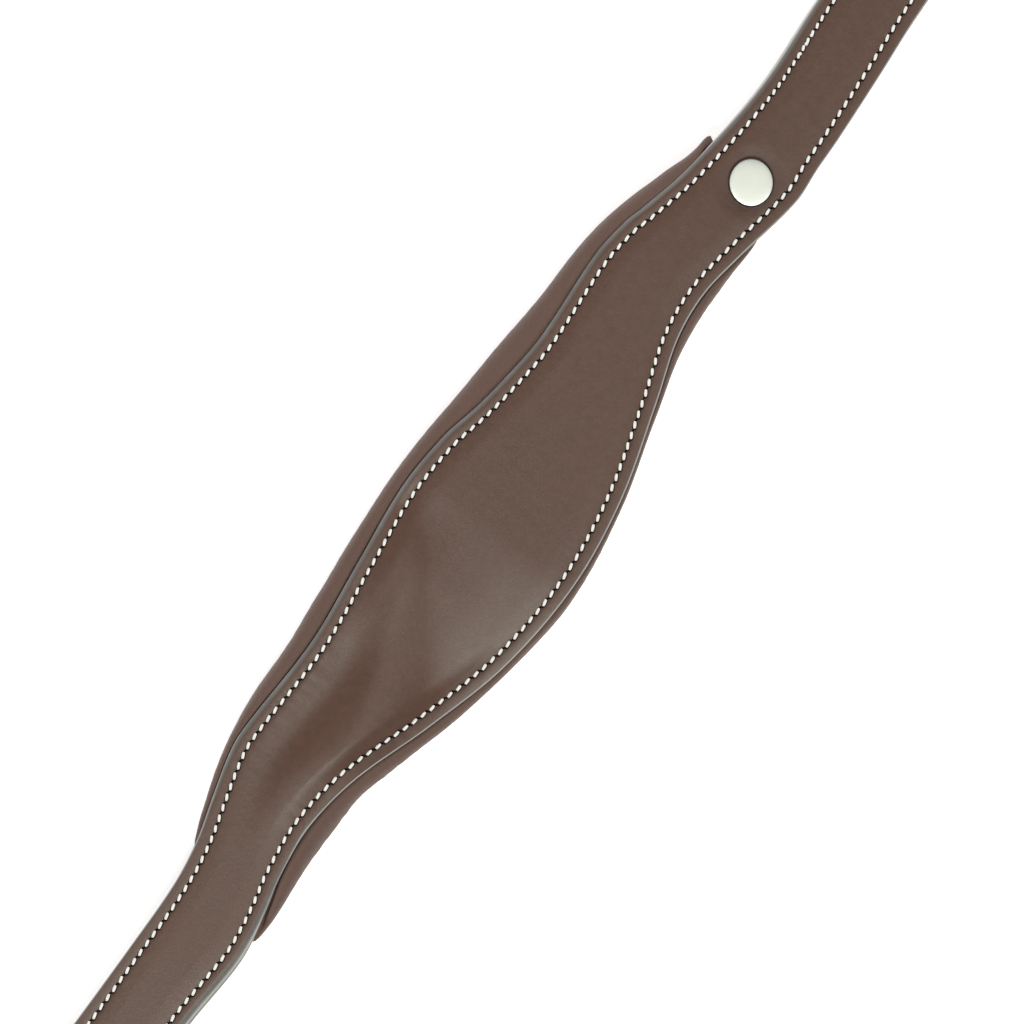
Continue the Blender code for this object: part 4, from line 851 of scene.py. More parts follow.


# A strap's edge has a painted highlight, a thin light line on its rounding, which "edge" shows as values
# up to 2. Its middle and half width are sines of the rounding's turn, for a thin and for a wide rounding.
LINE_THIN = (0.58, 0.34)
LINE_WIDE = (0.95, 0.16)
CORNER_THIN = 0.0007
CORNER_WIDE = 0.0015
CORNER_TALL = 0.8
WALL_SHARE = 0.95
FACE_SHARE = 0.92
PAINT_REACH = 1.3
EDGE_SHINE = 0.8


def hump_of(value, centre, half):
    """Smooth hump of height 1 about a centre."""
    return math.exp(-((value - centre) / half) ** 2)


def strap_rows(low, high, thickness, corners, inner_rows):
    """Section of a strap as (across, out, edge share) points, round from its outer face and back."""
    room = (high - low) / 2
    scale = min(1.0, FACE_SHARE * room / EDGE_ROWS[-1])
    half = thickness / 2
    (low_corner, low_shine), (high_corner, high_shine) = corners
    steps = [step * scale for step in EDGE_ROWS]
    face = [low + step for step in steps]
    face += spread(low + steps[-1], high - steps[-1], inner_rows + 2)[1:-1]
    face += [high - step for step in reversed(steps)]
    rows = [(across, half, 0.0) for across in face]
    walls = []
    for side, corner, shine in ((1, high_corner, high_shine), (-1, low_corner, low_shine)):
        corner = min(corner, EDGE_ROWS[0]) * scale
        wide = smooth((corner - CORNER_THIN) / (CORNER_WIDE - CORNER_THIN))
        line_at, line_half = (mix(thin, broad, wide) for thin, broad in zip(LINE_THIN, LINE_WIDE))
        edge = high if side > 0 else low
        tall = min(CORNER_TALL * corner, WALL_SHARE * half)
        wall = []
        for turn in spread(0.0, math.pi / 2, CORNER_TURNS + 1):
            lean = math.sin(turn)
            across = edge - side * corner * (1.0 - lean)
            paint_and_highlight = smooth(PAINT_REACH * lean)
            # Above 1, "edge" is a painted highlight line on the rounding, as bright as its shine
            paint_and_highlight = max(paint_and_highlight, (1.0 + shine) * hump_of(lean, line_at, line_half))
            wall.append((across, half - tall * (1.0 - math.cos(turn)), paint_and_highlight))
        walls.append(wall + [(across, -out, min(share, 1.0)) for across, out, share in reversed(wall)])
    rows += walls[0]
    rows += [(across, -half, 0.0) for across in spread(high - steps[0], low + steps[0], UNDER_ROWS)]
    rows += list(reversed(walls[1]))
    rows.append(rows[0])
    return rows


def even_corners(radius):
    """Edges rounded alike on both sides, all along a strap."""
    return lambda along: ((radius, EDGE_SHINE), (radius, EDGE_SHINE))


def strap_skin(
        path, lay, edges, thickness, relief, closed=False, corners=even_corners(CORNER_THIN),
        inner_rows=INNER_ROWS):
    """Strap's skin along an (along, up) path; relief raises its outer face."""
    sides = normals(path, closed)
    walked = walk(path)
    limits = [edges(spot.x) for spot in path]
    sections = []
    for spot, (low, high) in zip(path, limits):
        sections.append(strap_rows(low, high, thickness, corners(spot.x), inner_rows))

    def place(column, row):
        across, out, share = sections[column][row]
        along, up = path[column]
        low, high = limits[column]
        if out > 0:
            out += relief(along, across, low, high) * out / (thickness / 2)
        normal = sides[column]
        point = lay(along + normal.x * out, up + normal.y * out, across)
        return point, share, (walked[column], across)

    return skin(len(path) - 1, len(sections[0]) - 1, place, closed)


# Lays and paths of straps

def straight_lay(origin, heading_deg, pitch_deg=0.0):
    """Lay for a flat strap that runs from origin along a heading seen from above."""
    turn = Matrix.Rotation(math.radians(heading_deg), 3, "Z")
    turn = turn @ Matrix.Rotation(math.radians(-pitch_deg), 3, "Y")
    along_axis = turn @ Vector((1, 0, 0))
    across_axis = turn @ Vector((0, -1, 0))
    up_axis = turn @ Vector((0, 0, 1))
    start = Vector(origin)

    def lay(along, up, across):
        return start + along_axis * along + up_axis * up + across_axis * across

    return lay


# How far the crown's underside lies to the front of its face, as (along, shift) points of a smooth curve:
# one cut edge shows where the strap hangs over sideways
CROWN_SHEAR = (
    (-0.192, 0.0), (-0.176, 0.0015), (-0.134, 0.0016), (-0.106, 0.0), (0.116, 0.0), (0.132, -0.0009),
    (0.176, -0.0009), (0.192, 0.0),
)
SHEAR_REAR_SHARE = 0.25


def crown_shift(along, up):
    """Sideways shift of the crown's leather at a height."""
    return through(CROWN_SHEAR, along) * (1.0 - min(max(up / CROWN_STACK, 0.0), 1.0))


# The crown sags past its middle: its face falls from the near half to a floor that runs aslant, and rises
# again in the off half, sooner at the rear. The tables go by the place across.
SAG_START = 0.0040
SAG_RUN = (
    (-0.018, 0.011), (-0.010, 0.015), (-0.005, 0.022), (0.0, 0.027), (0.005, 0.033), (0.018, 0.052),
)
SAG_DEPTH = ((-0.018, 0.0007), (-0.010, 0.0010), (-0.003, 0.0016), (0.008, 0.0026), (0.018, 0.0044))
SAG_RETURN = (
    (-0.018, 0.014), (-0.010, 0.016), (-0.005, 0.021), (0.0, 0.030), (0.006, 0.046), (0.018, 0.076),
)
SAG_SOFTNESS = 0.22


def sag(along, across):
    """Depth of the crown's sag at a place."""
    run = through(SAG_RUN, across)
    fallen = smooth((SAG_START - along) / run)
    past = max((SAG_START - run - along) / through(SAG_RETURN, across), 0.0)
    left = max(1.0 - past ** 2 / (past + SAG_SOFTNESS), 0.0)
    return through(SAG_DEPTH, across) * fallen * left ** 2


def crown_lay(along, up, across):
    """Lay of the crown, from the underside of its lining; the pad's underside stays level."""
    drop = sag(along, across) * min(max(1.0 + up / PAD_DEPTH, 0.0), 1.0)
    return CROWN_MIDDLE + Vector((across, along, up - drop))


def sheared_lay(along, up, across):
    """Lay of the crown's leather, sheared as it lies."""
    return crown_lay(along, up, across + crown_shift(along, up))


# Crown

def tip_width(to_tip, width):
    """Half width of a strap near its rounded point."""
    if to_tip >= TIP_LENGTH:
        return width / 2
    share = 1.0 - max(to_tip, 0.0) / TIP_LENGTH
    return max(width / 2 * math.sqrt(1.0 - share ** TIP_SQUARENESS), TIP_LEAST_HALF)


def crown_sides(inset):
    """Sides of the crown's leather, less an inset."""
    def edges(along):
        to_tip = CROWN_LENGTH / 2 - inset - abs(along)
        limit = tip_width(to_tip, STRAP_WIDTH - 2 * inset)
        if to_tip < TIP_LENGTH:
            return -limit, limit
        half = STRAP_WIDTH / 2 - inset
        return -half - through(REAR_EDGE, along), half + through(FRONT_EDGE, along)
    return edges


def crown_stations(inset, spacing):
    """Places along the crown, closer together at its tips."""
    end = CROWN_LENGTH / 2 - inset
    run = spread(-end + TIP_LENGTH, end - TIP_LENGTH, round(CROWN_LENGTH / spacing))
    return [-end + step for step in TIP_STEPS] + run + [end - step for step in reversed(TIP_STEPS)]


@lru_cache(maxsize=None)
def crown_limits(along):
    """Sides of the crown's top leather."""
    return crown_sides(0.0)(along)


def shown_sides(inset):
    """Sides of the crown as it lies, drawn in at the rear where it is sheared."""
    edges = crown_sides(inset)

    def shown(along):
        low, high = edges(along)
        return low + SHEAR_REAR_SHARE * max(through(CROWN_SHEAR, along), 0.0), high
    return shown


# The edge that shows aslant has the wide rounding: the rear one, and at the off end the front one. Shine
# is how bright the painted highlight line is: along the pad, at the near end and at the off end.
WIDE_EDGE = 0.0017
THIN_EDGE = 0.0006
OFF_END_FROM = -0.085
NEAR_END_FROM = 0.105
EDGE_CHANGE_RUN = 0.035
REAR_SHINE = (0.35, 1.0, 0.7)
FRONT_SHINE = (1.0, 0.8)


def crown_corners(along):
    """(rounding, shine) of the crown's rear and front edges."""
    turned_over = smooth((OFF_END_FROM - along) / EDGE_CHANGE_RUN)
    near_end = smooth((along - NEAR_END_FROM) / EDGE_CHANGE_RUN)
    shine = mix(mix(*REAR_SHINE[:2], near_end), REAR_SHINE[2], turned_over)
    front = mix(THIN_EDGE, WIDE_EDGE, turned_over), mix(*FRONT_SHINE, turned_over)
    return (mix(WIDE_EDGE, THIN_EDGE, turned_over), shine), front


# The crown's off half has a crest that runs aslant, from the rear seam at the middle to the front seam,
# and a valley behind it. Their middles are (along, place) points; a place, and so a half width, is a
# share of the way from the rear to the front seam.
CREST_LINE = (
    (-0.120, 0.70), (-0.080, 0.80), (-0.060, 0.84), (-0.040, 0.72), (-0.030, 0.60), (-0.020, 0.42),
    (-0.008, 0.22), (0.002, 0.10),
)
CREST_HALF = 0.45
CREST_OPENS = 0.025
VALLEY_LINE = ((-0.120, 0.42), (-0.090, 0.36), (-0.070, 0.32), (-0.050, 0.25), (-0.008, 0.08))
VALLEY_HALF = 0.19
VALLEY_FROM = -0.032
VALLEY_OPENS = 0.022
WAVE_END = -0.112
WAVE_FALL = 0.045
OVER_PAD_PAST = 0.004
OVER_PAD_RUN = 0.035

# The leather is drawn down along a seam, level again a little inside it, and pressed flat round the stud
GROOVE_HALF = 0.0007
HELD_RUN = 0.005
STUD_PRESS_RUN = 0.005

# A part of the rear edge is lifted, as (middle, half length)
REAR_LIFT = 0.00035
REAR_LIFT_SPAN = (-0.014, 0.030)

# Slow unevenness over the pad, as height and waves per metre along and across
UNEVEN = (0.00008, 38.0, 55.0)

# Puckers: more in the span that is drawn; fading over a reach inside and outside the seam; two finenesses
DRAWN_SPAN = (-0.108, -0.018)
DRAWN_RUN = 0.02
DRAWN_REACH = (0.0032, 0.0012)
PUCKER_LEAST = 0.15
PUCKER_REAR = 0.7
PUCKER_WAVES = (620.0, 1400.0)
PUCKER_FINER = 0.6


def crown_relief(along, across, *_):
    """Rise of the crown's face: its dome, crest and valley, its seams' grooves and their puckers."""
    shape, stitch = halter().shape, halter().stitch
    low, high = crown_limits(along)
    from_edge = min(across - low, high - across)
    inside = from_edge - stitch.margin
    over_pad = smooth((CROWN_PAD_SPAN[1] + OVER_PAD_PAST - abs(along)) / OVER_PAD_RUN)
    rise = -stitch.groove * math.exp(-(inside / GROOVE_HALF) ** 2)
    if inside > 0:
        share = (across - low - stitch.margin) / max(high - low - 2 * stitch.margin, TINY)
        past = smooth((SAG_START - along) / CREST_OPENS)
        plateau = mix(shape.strap_dome, shape.dome, over_pad)
        far = smooth((along - WAVE_END) / WAVE_FALL)
        wave = shape.crest * hump_of(share, through(CREST_LINE, along), CREST_HALF)
        opened = smooth((VALLEY_FROM - along) / VALLEY_OPENS)
        wave -= shape.valley * opened * hump_of(share, through(VALLEY_LINE, along), VALLEY_HALF)
        held = smooth(inside / HELD_RUN)
        level = mix(plateau, mix(shape.strap_dome, wave, far), past)
        rise += level * held
        height, waves_along, waves_across = UNEVEN
        uneven = cloud(along * waves_along, across * waves_across, 3.1)
        rise += height * over_pad * uneven * held
    front = high - across < across - low
    if inside < 0 and not front:
        rise -= REAR_LIFT * inside / stitch.margin * hump_of(along, *REAR_LIFT_SPAN)
    start, end = DRAWN_SPAN
    drawn = smooth((end - along) / DRAWN_RUN) * smooth((along - start) / DRAWN_RUN)
    pull = shape.pucker * (PUCKER_LEAST + (1.0 if front else PUCKER_REAR) * drawn)
    slow, quick = PUCKER_WAVES
    fine = cloud(along * slow, 7.3 if front else 1.7, 0.0)
    fine += PUCKER_FINER * cloud(along * quick, 2.3 if front else 5.7, 0.0)
    rise += pull * fine * math.exp(-abs(inside) / DRAWN_REACH[inside < 0])
    to_stud = math.hypot(along - STUD_ALONG, across - STUD_ACROSS)
    return rise * smooth((to_stud - STUD_RADIUS) / STUD_PRESS_RUN)


def crown_layer(name, inset, bottom, thickness, spacing, relief, corners, material, node):
    """One leather layer of the crown, punched for the buckle's tongue and the stud's rivet."""
    level = bottom + thickness / 2
    path = [Vector((along, level)) for along in crown_stations(inset, spacing)]
    bm = strap_skin(
        path, sheared_lay, shown_sides(inset), thickness, relief, corners=corners,
        inner_rows=CROWN_INNER_ROWS)
    piece = finish_piece(name, bm, "crown", material, node)
    low, high = bottom - CUT_PAST, bottom + thickness + CUT_PAST
    rows = [end * (HOLE_FIRST + i * HOLE_PITCH) for end in (-1, 1) for i in range(HOLE_COUNT)]
    bm, edge = new_cutter()
    punch(bm, edge, crown_lay, [(along, 0.0) for along in rows], low, high, HOLE_LENGTH, HOLE_WIDTH)
    bore = 2 * (RIVET_RADIUS + CLEAR)
    punch(bm, edge, crown_lay, [(STUD_ALONG, STUD_ACROSS)], low, high, bore, bore)
    cut_away(piece, bm)
    return piece


# Stitching

# Painted shadow: a near-black disc under each stitch outlines it; painted shade: a near-black slit for
# its hole
SHADOW_HEIGHT = 0.00038
SHADOW_PAST = 0.00018
SHADOW_SQUARENESS = 2.8
SHADOW_TAPER = 0.94
STITCH_SQUARENESS = 3.2
STITCH_WOBBLE = 0.02
SLIT_HALF = (0.00088, 0.00027)
SLIT_LEAN = math.radians(-32.0)
THREAD_LIFT = 0.16
THREAD_SINK = 0.44
THREAD_FLATNESS = 0.36
KNOT_RADIUS = 0.00052

# The rear seam is restarted near the crown's free end: closer stitches, then small knots
DENSE_SPAN = (0.142, 0.172)
DENSE_RUN = 0.006
DENSE_SHARE = 0.79
KNOTS_AT = (0.1600, 0.1632, 0.1660)
UNDER_SEAM_FROM = 0.134


def stitch_template(size):
    """Mesh of one stitch along X, bent down into the leather at both ends, over its painted shadow and
    slit.
    """
    bm = bmesh.new()
    bm.loops.layers.uv.new("strands")
    ball = bmesh.ops.create_uvsphere(bm, u_segments=7, v_segments=7, radius=1.0, calc_uvs=True)
    for vert in ball["verts"]:
        x, y, z = vert.co
        girth = 0.0
        if abs(z) < 0.999:
            girth = math.sqrt(max(1.0 - abs(z) ** STITCH_SQUARENESS, 0.0) / (1.0 - z * z))
        girth *= size.width
        vert.co = Vector((z * size.length / 2, x * girth / 2, y * girth * THREAD_FLATNESS))
        vert.co.z += size.width * (THREAD_LIFT - THREAD_SINK * z ** 4)
    bmesh.ops.rotate(bm, matrix=Matrix.Rotation(size.slant, 3, "Z"), verts=bm.verts)
    bmesh.ops.recalc_face_normals(bm, faces=bm.faces)
    stitch_faces = set(bm.faces)
    spot = Matrix.Translation((size.pitch / 2, 0.0, 0.0)) @ Matrix.Rotation(SLIT_LEAN, 4, "Z")
    reach = (size.length / 2 + SHADOW_PAST, size.width / 2 + SHADOW_PAST)
    for stand, (ahead, aside) in ((spot, SLIT_HALF), (Matrix.Rotation(size.slant, 4, "Z"), reach)):
        shadow = bmesh.ops.create_cone(
            bm, cap_ends=True, segments=12, radius1=1.0, radius2=SHADOW_TAPER,
            depth=SHADOW_HEIGHT)["verts"]
        for vert in shadow:
            x, y = vert.co.xy
            power_sum = abs(x) ** SHADOW_SQUARENESS + abs(y) ** SHADOW_SQUARENESS
            vert.co.xy = vert.co.xy / power_sum ** (1 / SHADOW_SQUARENESS)
        bmesh.ops.transform(bm, matrix=stand @ Matrix.Diagonal((ahead, aside, 1.0, 1.0)), verts=shadow)
    # The shadow disc and the slit take the second material, near-black painted shade
    for face in bm.faces:
        if face not in stitch_faces:
            face.material_index = 1
    return to_mesh("stitch_template", bm)


def dense_share(point):
    """Pitch of the crown's rear seam as a share of the usual one."""
    along = point.y - CROWN_MIDDLE.y
    start, end = DENSE_SPAN
    dense = smooth((along - start) / DENSE_RUN + 0.5) * smooth((end - along) / DENSE_RUN + 0.5)
    return mix(1.0, DENSE_SHARE, dense)


def sew(bm, line, template, size, pitch_share):
    """Copies of a stitch along a line of (point, up) pairs, its pitch times pitch_share(point)."""
    walked = 0.0
    counted = [0.0]
    for (start, _), (end, _) in zip(line, line[1:]):
        step = (end - start).length
        walked += step
        counted.append(counted[-1] + step / (size.pitch * pitch_share(start)))
    count = max(round(counted[-1]), 1)
    index = 0
    for i in range(count):
        wobble = STITCH_WOBBLE * cloud(i * 0.73, walked * 31.0, 0.0)
        goal = (i + 0.5 + wobble) / count * counted[-1]
        while index < len(line) - 2 and counted[index + 1] < goal:
            index += 1
        share = (goal - counted[index]) / max(counted[index + 1] - counted[index], TINY)
        point = line[index][0].lerp(line[index + 1][0], share)
        up = line[index][1].lerp(line[index + 1][1], share).normalized()
        side = up.cross(line[index + 1][0] - line[index][0]).normalized()
        ahead = side.cross(up) * pitch_share(point)
        turn = Matrix((ahead, side, up)).transposed().to_4x4()
        stitch = template.copy()
        stitch.transform(Matrix.Translation(point) @ turn)
        bm.from_mesh(stitch)
        bpy.data.meshes.remove(stitch)


def stitching(name, body, lines, restarted=(), knots=()):
    """Stitching along some lines, as one piece; the restarted ones have the crown's closer stitches."""
    size = halter().stitch
    template = stitch_template(size)
    bm = bmesh.new()
    bm.loops.layers.uv.new("strands")
    for line in lines:
        sew(bm, line, template, size, lambda point: 1.0)
    for line in restarted:
        sew(bm, line, template, size, dense_share)
    for spot in knots:
        bmesh.ops.create_icosphere(
            bm, subdivisions=2, radius=KNOT_RADIUS, matrix=Matrix.Translation(spot), calc_uvs=True)
    bpy.data.meshes.remove(template)
    return finish_piece(name, bm, body, None, materials=("thread", "painted_stitch_shade"))


def surface_line(lay, edges, level, relief, spots, facing=1.0):
    """Line of (point, up) on a strap's face through (along, across) spots."""
    line = []
    step = SLOPE_STEP
    for along, across in spots:
        low, high = edges(along)
        rise = relief(along, across, low, high)
        ahead_low, ahead_high = edges(along + step)
        climb = relief(along + step, across, ahead_low, ahead_high) - rise
        tilt = relief(along, across + step, low, high) - rise
        here = lay(along, level + facing * rise, across)
        one = lay(along + step, level + facing * (rise + climb), across) - here
        two = lay(along, level + facing * (rise + tilt), across + step) - here
        up = two.cross(one).normalized() * facing
        line.append((here, up))
    return line


def crown_seam(front):
    """Seam of one side of the crown, as (along, across) spots."""
    margin = halter().stitch.margin
    edges = crown_sides(0.0)
    inner = crown_sides(margin)
    end = CROWN_LENGTH / 2 - margin
    pick = 1 if front else 0
    spots = []
    for along in crown_stations(margin, CROWN_SEAM_STEP):
        low_high = inner(along)
        if end - abs(along) < TIP_LENGTH:
            across = low_high[pick]
        else:
            slope = (edges(along + 0.001)[pick] - edges(along - 0.001)[pick]) / 0.002
            across = edges(along)[pick] + (-1 if front else 1) * margin * math.hypot(1.0, slope)
        spots.append((along, across))
    return spots


def make_crown_stitching():
    """Both seams of the crown, seen on its face and, past its pad, on its underside."""
    lines = []
    for front in (True, False):
        spots = crown_seam(front)
        face = surface_line(sheared_lay, crown_limits, CROWN_STACK, crown_relief, spots)
        if front:
            lines.append(face)
        else:
            restarted = [face]
            knots = [crown_lay(along, CROWN_STACK, through(spots, along)) for along in KNOTS_AT]
        for way in (-1, 1):
            run = [spot for spot in spots if way * spot[0] > UNDER_SEAM_FROM]
            lines.append(surface_line(sheared_lay, crown_limits, 0.0, flat_relief, run, -1.0))
    return stitching("crown_stitching", "crown", lines, restarted, knots)


# Pads; swelling and wrinkles are (height, waves per metre along, waves per radian of the roll). The front
# wrinkles are deeper where the crown is gathered.
SWELLING = (0.00025, 55.0, 0.6)
WRINKLES = (0.00008, 430.0, 1.1)
GATHERED_AT = -0.075
GATHERED_HALF = 0.020
GATHERED_MORE = 2.0

# A lip stands at least this far out, and grows to its height over a run more
LIP_FROM = 0.0010
LIP_GROWS = 0.0014
LEAST_OUT = 0.0012
SWELL_RUN = 0.002
LEVEL_SHARE = 0.45
LIP_SQUARENESS = 3.0
ROLL_SQUARENESS = 2.4


def pad_swell(along, turn, side):
    """Unevenness of a pad's roll: slow swelling, and small wrinkles that run over its edge."""
    slow_height, slow_along, slow_round = SWELLING
    fine_height, fine_along, fine_round = WRINKLES
    slow = cloud(along * slow_along, turn * slow_round, side)
    fine = cloud(along * fine_along, turn * fine_round, side + 5.0)
    gathered = 1.0 + (GATHERED_MORE * hump_of(along, GATHERED_AT, GATHERED_HALF) if side > 0 else 0.0)
    return slow_height * slow + fine_height * fine * gathered


def pad_half(edge, outer, bottom, lip, swell):
    """One side of a pad's section as (out, up) points, from the middle of its top to that of its bottom.

    It lies flat under the strap, stands up beside the strap's edge and rolls over to its underside.
    """
    edge = min(edge, outer - LEAST_OUT)
    lip *= smooth((outer - edge - LIP_FROM) / LIP_GROWS)
    foot = edge + LIP_GAP
    shoulder = foot + min(LIP_RISE, 0.3 * (outer - foot))
    points = [(edge * share, 0.0) for share in (0.0, 0.3, 0.6, 0.85, 1.0)]
    points += [(mix(foot, shoulder, share), lip * smooth(share)) for share in (0.0, 0.3, 0.6, 0.85)]
    level = mix(bottom, lip, LEVEL_SHARE)
    for turn in spread(math.pi / 2, 0.0, 16):
        grown = swell(turn) * min(1.0, (outer - shoulder) / SWELL_RUN)
        points.append((
            shoulder + (outer - shoulder + grown) * math.cos(turn) ** (2 / LIP_SQUARENESS),
            level + (lip - level + grown) * math.sin(turn) ** (2 / LIP_SQUARENESS),
        ))
    roll = min(PAD_ROLL, 0.5 * outer)
    for turn in spread(0.0, math.pi / 2, 9)[1:]:
        points.append((
            outer - roll * (1.0 - math.cos(turn) ** (2 / ROLL_SQUARENESS)),
            level - (level - bottom) * math.sin(turn) ** (2 / ROLL_SQUARENESS),
        ))
    return points + [((outer - roll) * share, bottom) for share in (0.6, 0.3, 0.0)]


def pad_skin(lay, span, sides, strap_sides, depth, ends, spacing, lip):
    """Skin of a pad that hangs below up = 0; its ends may run aslant."""
    end_share, end_run, slants = ends
    columns = max(round((span[1] - span[0]) / spacing), 8)
    alongs = spread(*span, columns + 1)
    leans = []
    sections = []
    for along in alongs:
        to_end = max(min(along - span[0], span[1] - along), 0.0)
        rounding = math.sqrt(1.0 - (1.0 - min(to_end / end_run, 1.0)) ** 2)
        width_share = mix(end_share, 1.0, rounding)
        slant = slants[along > (span[0] + span[1]) / 2]
        lean = slant * (1.0 - smooth(to_end / PAD_SLANT_RUN))
        leans.append(lean)
        rear, front = sides(along)
        bottom = -mix(PAD_END_DEPTH, depth, smooth(to_end / PAD_RUN_OUT))
        closing = math.sqrt(max(min(to_end / PAD_CLOSING, 1.0), 0.02))
        halves = []
        for side, at in ((1, front), (0, rear)):
            outer = abs(sides(along + lean * at)[side]) * width_share
            edge = abs(strap_sides(along + lean * at)[side])
            half = pad_half(
                edge, outer, bottom, lip * smooth(to_end / LIP_RUN),
                lambda turn: pad_swell(along, turn, 2 * side - 1))
            halves.append([(out, mix(bottom / 2, up, closing)) for out, up in half])
        section = halves[0] + [(-out, up) for out, up in reversed(halves[1])]
        sections.append(section)

    def place(column, row):
        across, up = sections[column][row]
        along = alongs[column] + leans[column] * across
        return lay(along, up, across), 0.0, (along, across)

    return skin(columns, len(sections[0]) - 1, place)


def make_crown_pad():
    """Soft leather pad under the crown."""
    def lay(along, up, across):
        return crown_lay(along, up - CLEAR, across)

    def sides(along):
        half = STRAP_WIDTH / 2
        return -half - through(PAD_REAR_EDGE, along), half + through(PAD_FRONT_EDGE, along)

    def strap_foot(along):
        low, high = crown_limits(along)
        shift = crown_shift(along, 0.0)
        return low + shift, high + shift

    bm = pad_skin(
        lay, CROWN_PAD_SPAN, sides, strap_foot, PAD_DEPTH, CROWN_PAD_ENDS, STRAP_STEP, CROWN_LIP)
    pad = finish_piece("crown_pad", bm, "crown", "pad_leather", "crown_pad_cover", "crown_pad_foam")
    return pad


# Stud

def turned(profile, base, axis, steps):
    """Solid of revolution of an (radius, height) profile that starts and ends on the axis."""
    bm = bmesh.new()
    axis = Vector(axis).normalized()
    out = axis.orthogonal().normalized()
    ring = [bm.verts.new(Vector(base) + out * radius + axis * height) for radius, height in profile]
    lines = [bm.edges.new(pair) for pair in zip(ring, ring[1:])]
    bmesh.ops.spin(
        bm, geom=ring + lines, cent=base, axis=axis, angle=math.tau, steps=steps, use_merge=True)
    bmesh.ops.remove_doubles(bm, verts=bm.verts, dist=1e-7)
    bmesh.ops.recalc_face_normals(bm, faces=bm.faces)
    return bm


def make_stud():
    """Stud with a bare satin face, a rim of dark metal that is painted shade, and its rivet."""
    seat = CROWN_STACK + CLEAR
    face = seat + STUD_CAP
    head_top = -2 * CLEAR - WASHER_THICKNESS
    head = head_top - RIVET_HEAD_THICKNESS
    profile = [
        (0.0, head), (0.8 * RIVET_HEAD, head), (RIVET_HEAD, head + RIVET_HEAD_ROUND),
        (RIVET_HEAD, head_top), (RIVET_RADIUS, head_top), (RIVET_RADIUS, seat),
        (STUD_RADIUS * 0.97, seat), (STUD_RADIUS, seat + STUD_FOOT_ROUND),
        (STUD_RADIUS, face - STUD_SHOULDER),
    ]
    for turn in spread(0.0, math.pi / 2, 6):
        profile.append((
            STUD_RADIUS - STUD_RIM * (1.0 - math.cos(turn)),
            face - STUD_SHOULDER + STUD_SHOULDER_RISE * math.sin(turn),
        ))
    for share in (0.9, 0.8, 0.6, 0.3, 0.1):
        profile.append((STUD_RADIUS * share, face - STUD_DOME * share ** 4))
    profile.append((0.0, face))
    base = crown_lay(STUD_ALONG, 0.0, STUD_ACROSS)
    bm = turned(profile, base, (0, 0, 1), STUD_TURNS)
    # Facets on the rounded rim take the dark metal: painted shade where the rim rounds over
    for facet in bm.faces:
        radius = (facet.calc_center_median() - base).xy.length
        if radius > STUD_RADIUS - 1.15 * STUD_RIM:
            facet.material_index = 1
    turn = Matrix.Rotation(halter().stage.turn, 4, "Z")
    squeeze = turn @ Matrix.Diagonal((*STUD_OVAL, 1.0, 1.0)) @ turn.inverted()
    bmesh.ops.transform(
        bm, matrix=Matrix.Translation(base) @ squeeze @ Matrix.Translation(-base), verts=bm.verts)
    return finish_piece(
        "stud_cap", bm, "crown", "satin_nickel", "stud", materials=("satin_nickel", "stud_rim_painted_shade"))


# Folded straps

def eye_path(radius, half_gap, stretch=0.0):
    """Path of a strap that comes in below, turns round behind an eye at 0 and goes out above."""
    flat = EYE_TAPER * radius
    reach = math.hypot(flat, half_gap)
    lift = math.atan2(half_gap, flat) + math.acos(radius / reach)
    upper = [(stretch + flat, half_gap)]
    upper += between(upper[0], (stretch + radius * math.cos(lift), radius * math.sin(lift)), 4)
    for turn in spread(lift, math.pi / 2, 5):
        upper.append((stretch + radius * math.cos(turn), radius * math.sin(turn)))
    if stretch:
        upper += between(upper[-1], (-stretch, radius), 3)
    for turn in spread(math.pi / 2, math.pi, 9)[0 if stretch else 1:]:
        upper.append((-stretch + radius * math.cos(turn), radius * math.sin(turn)))
    lower = [(along, -up) for along, up in upper[:-1]]
    return lower + upper[::-1]


def between(start, end, count):
    """Points between two (along, up) points, ends left out."""
    inner = spread(0.0, 1.0, count + 2)[1:-1]
    return [(mix(start[0], end[0], share), mix(start[1], end[1], share)) for share in inner]


def link_path(length, first_eye, second_eye):
    """Closed path of a strap folded round two eyes that are a length apart."""
    far = [(length - along, up) for along, up in second_eye[::-1]]
    count = max(round(length / 0.012), 4)
    return first_eye + between(first_eye[-1], far[0], count) + far + between(far[-1], first_eye[0], count)


def even_edges(length, start_width, full_width, end_width):
    """Sides of a strap that narrows to its folds."""
    def edges(along):
        width = mix(start_width, full_width, smooth(along / FOLD_TAPER))
        width = min(width, mix(end_width, full_width, smooth((length - along) / FOLD_TAPER)))
        return -width / 2, width / 2
    return edges


# How a sewn strap's groove and dome set in, and its ripple as (height, waves per metre, reach)
SEWN_RUN = 0.002
DOME_SIDE_RUN = 0.003
DOME_END_RUN = 0.006
RIPPLE = (0.00002, 500.0, 0.002)


def sewn_relief(start, end, margin):
    """Relief of a strap sewn along both sides and across both ends of a run."""
    groove, dome = halter().stitch.groove, halter().shape.strap_dome

    def relief(along, across, low, high):
        inside = min(across - low, high - across) - margin
        within = min(along - start, end - along)
        sewn = smooth(within / SEWN_RUN + 0.5)
        rise = -groove * math.exp(-(inside / GROOVE_HALF) ** 2) * sewn
        if inside > 0:
            rise -= groove * math.exp(-(within / GROOVE_HALF) ** 2)
            rise += dome * (1.0 - math.exp(-inside / DOME_SIDE_RUN)) * smooth(within / DOME_END_RUN)
        height, waves, reach = RIPPLE
        ripple = cloud(along * waves, 3.7 if across > 0 else 8.1, 0.0)
        return rise + height * ripple * math.exp(-abs(inside) / reach)
    return relief


def flat_relief(*_):
    """Relief of a plain face."""
    return 0.0


def side_seams(edges, alongs, margin):
    """The (along, across) spots of both side seams of a strap."""
    return [
        [(along, edges(along)[pick] + way * margin) for along in alongs]
        for pick, way in ((0, 1.0), (1, -1.0))
    ]


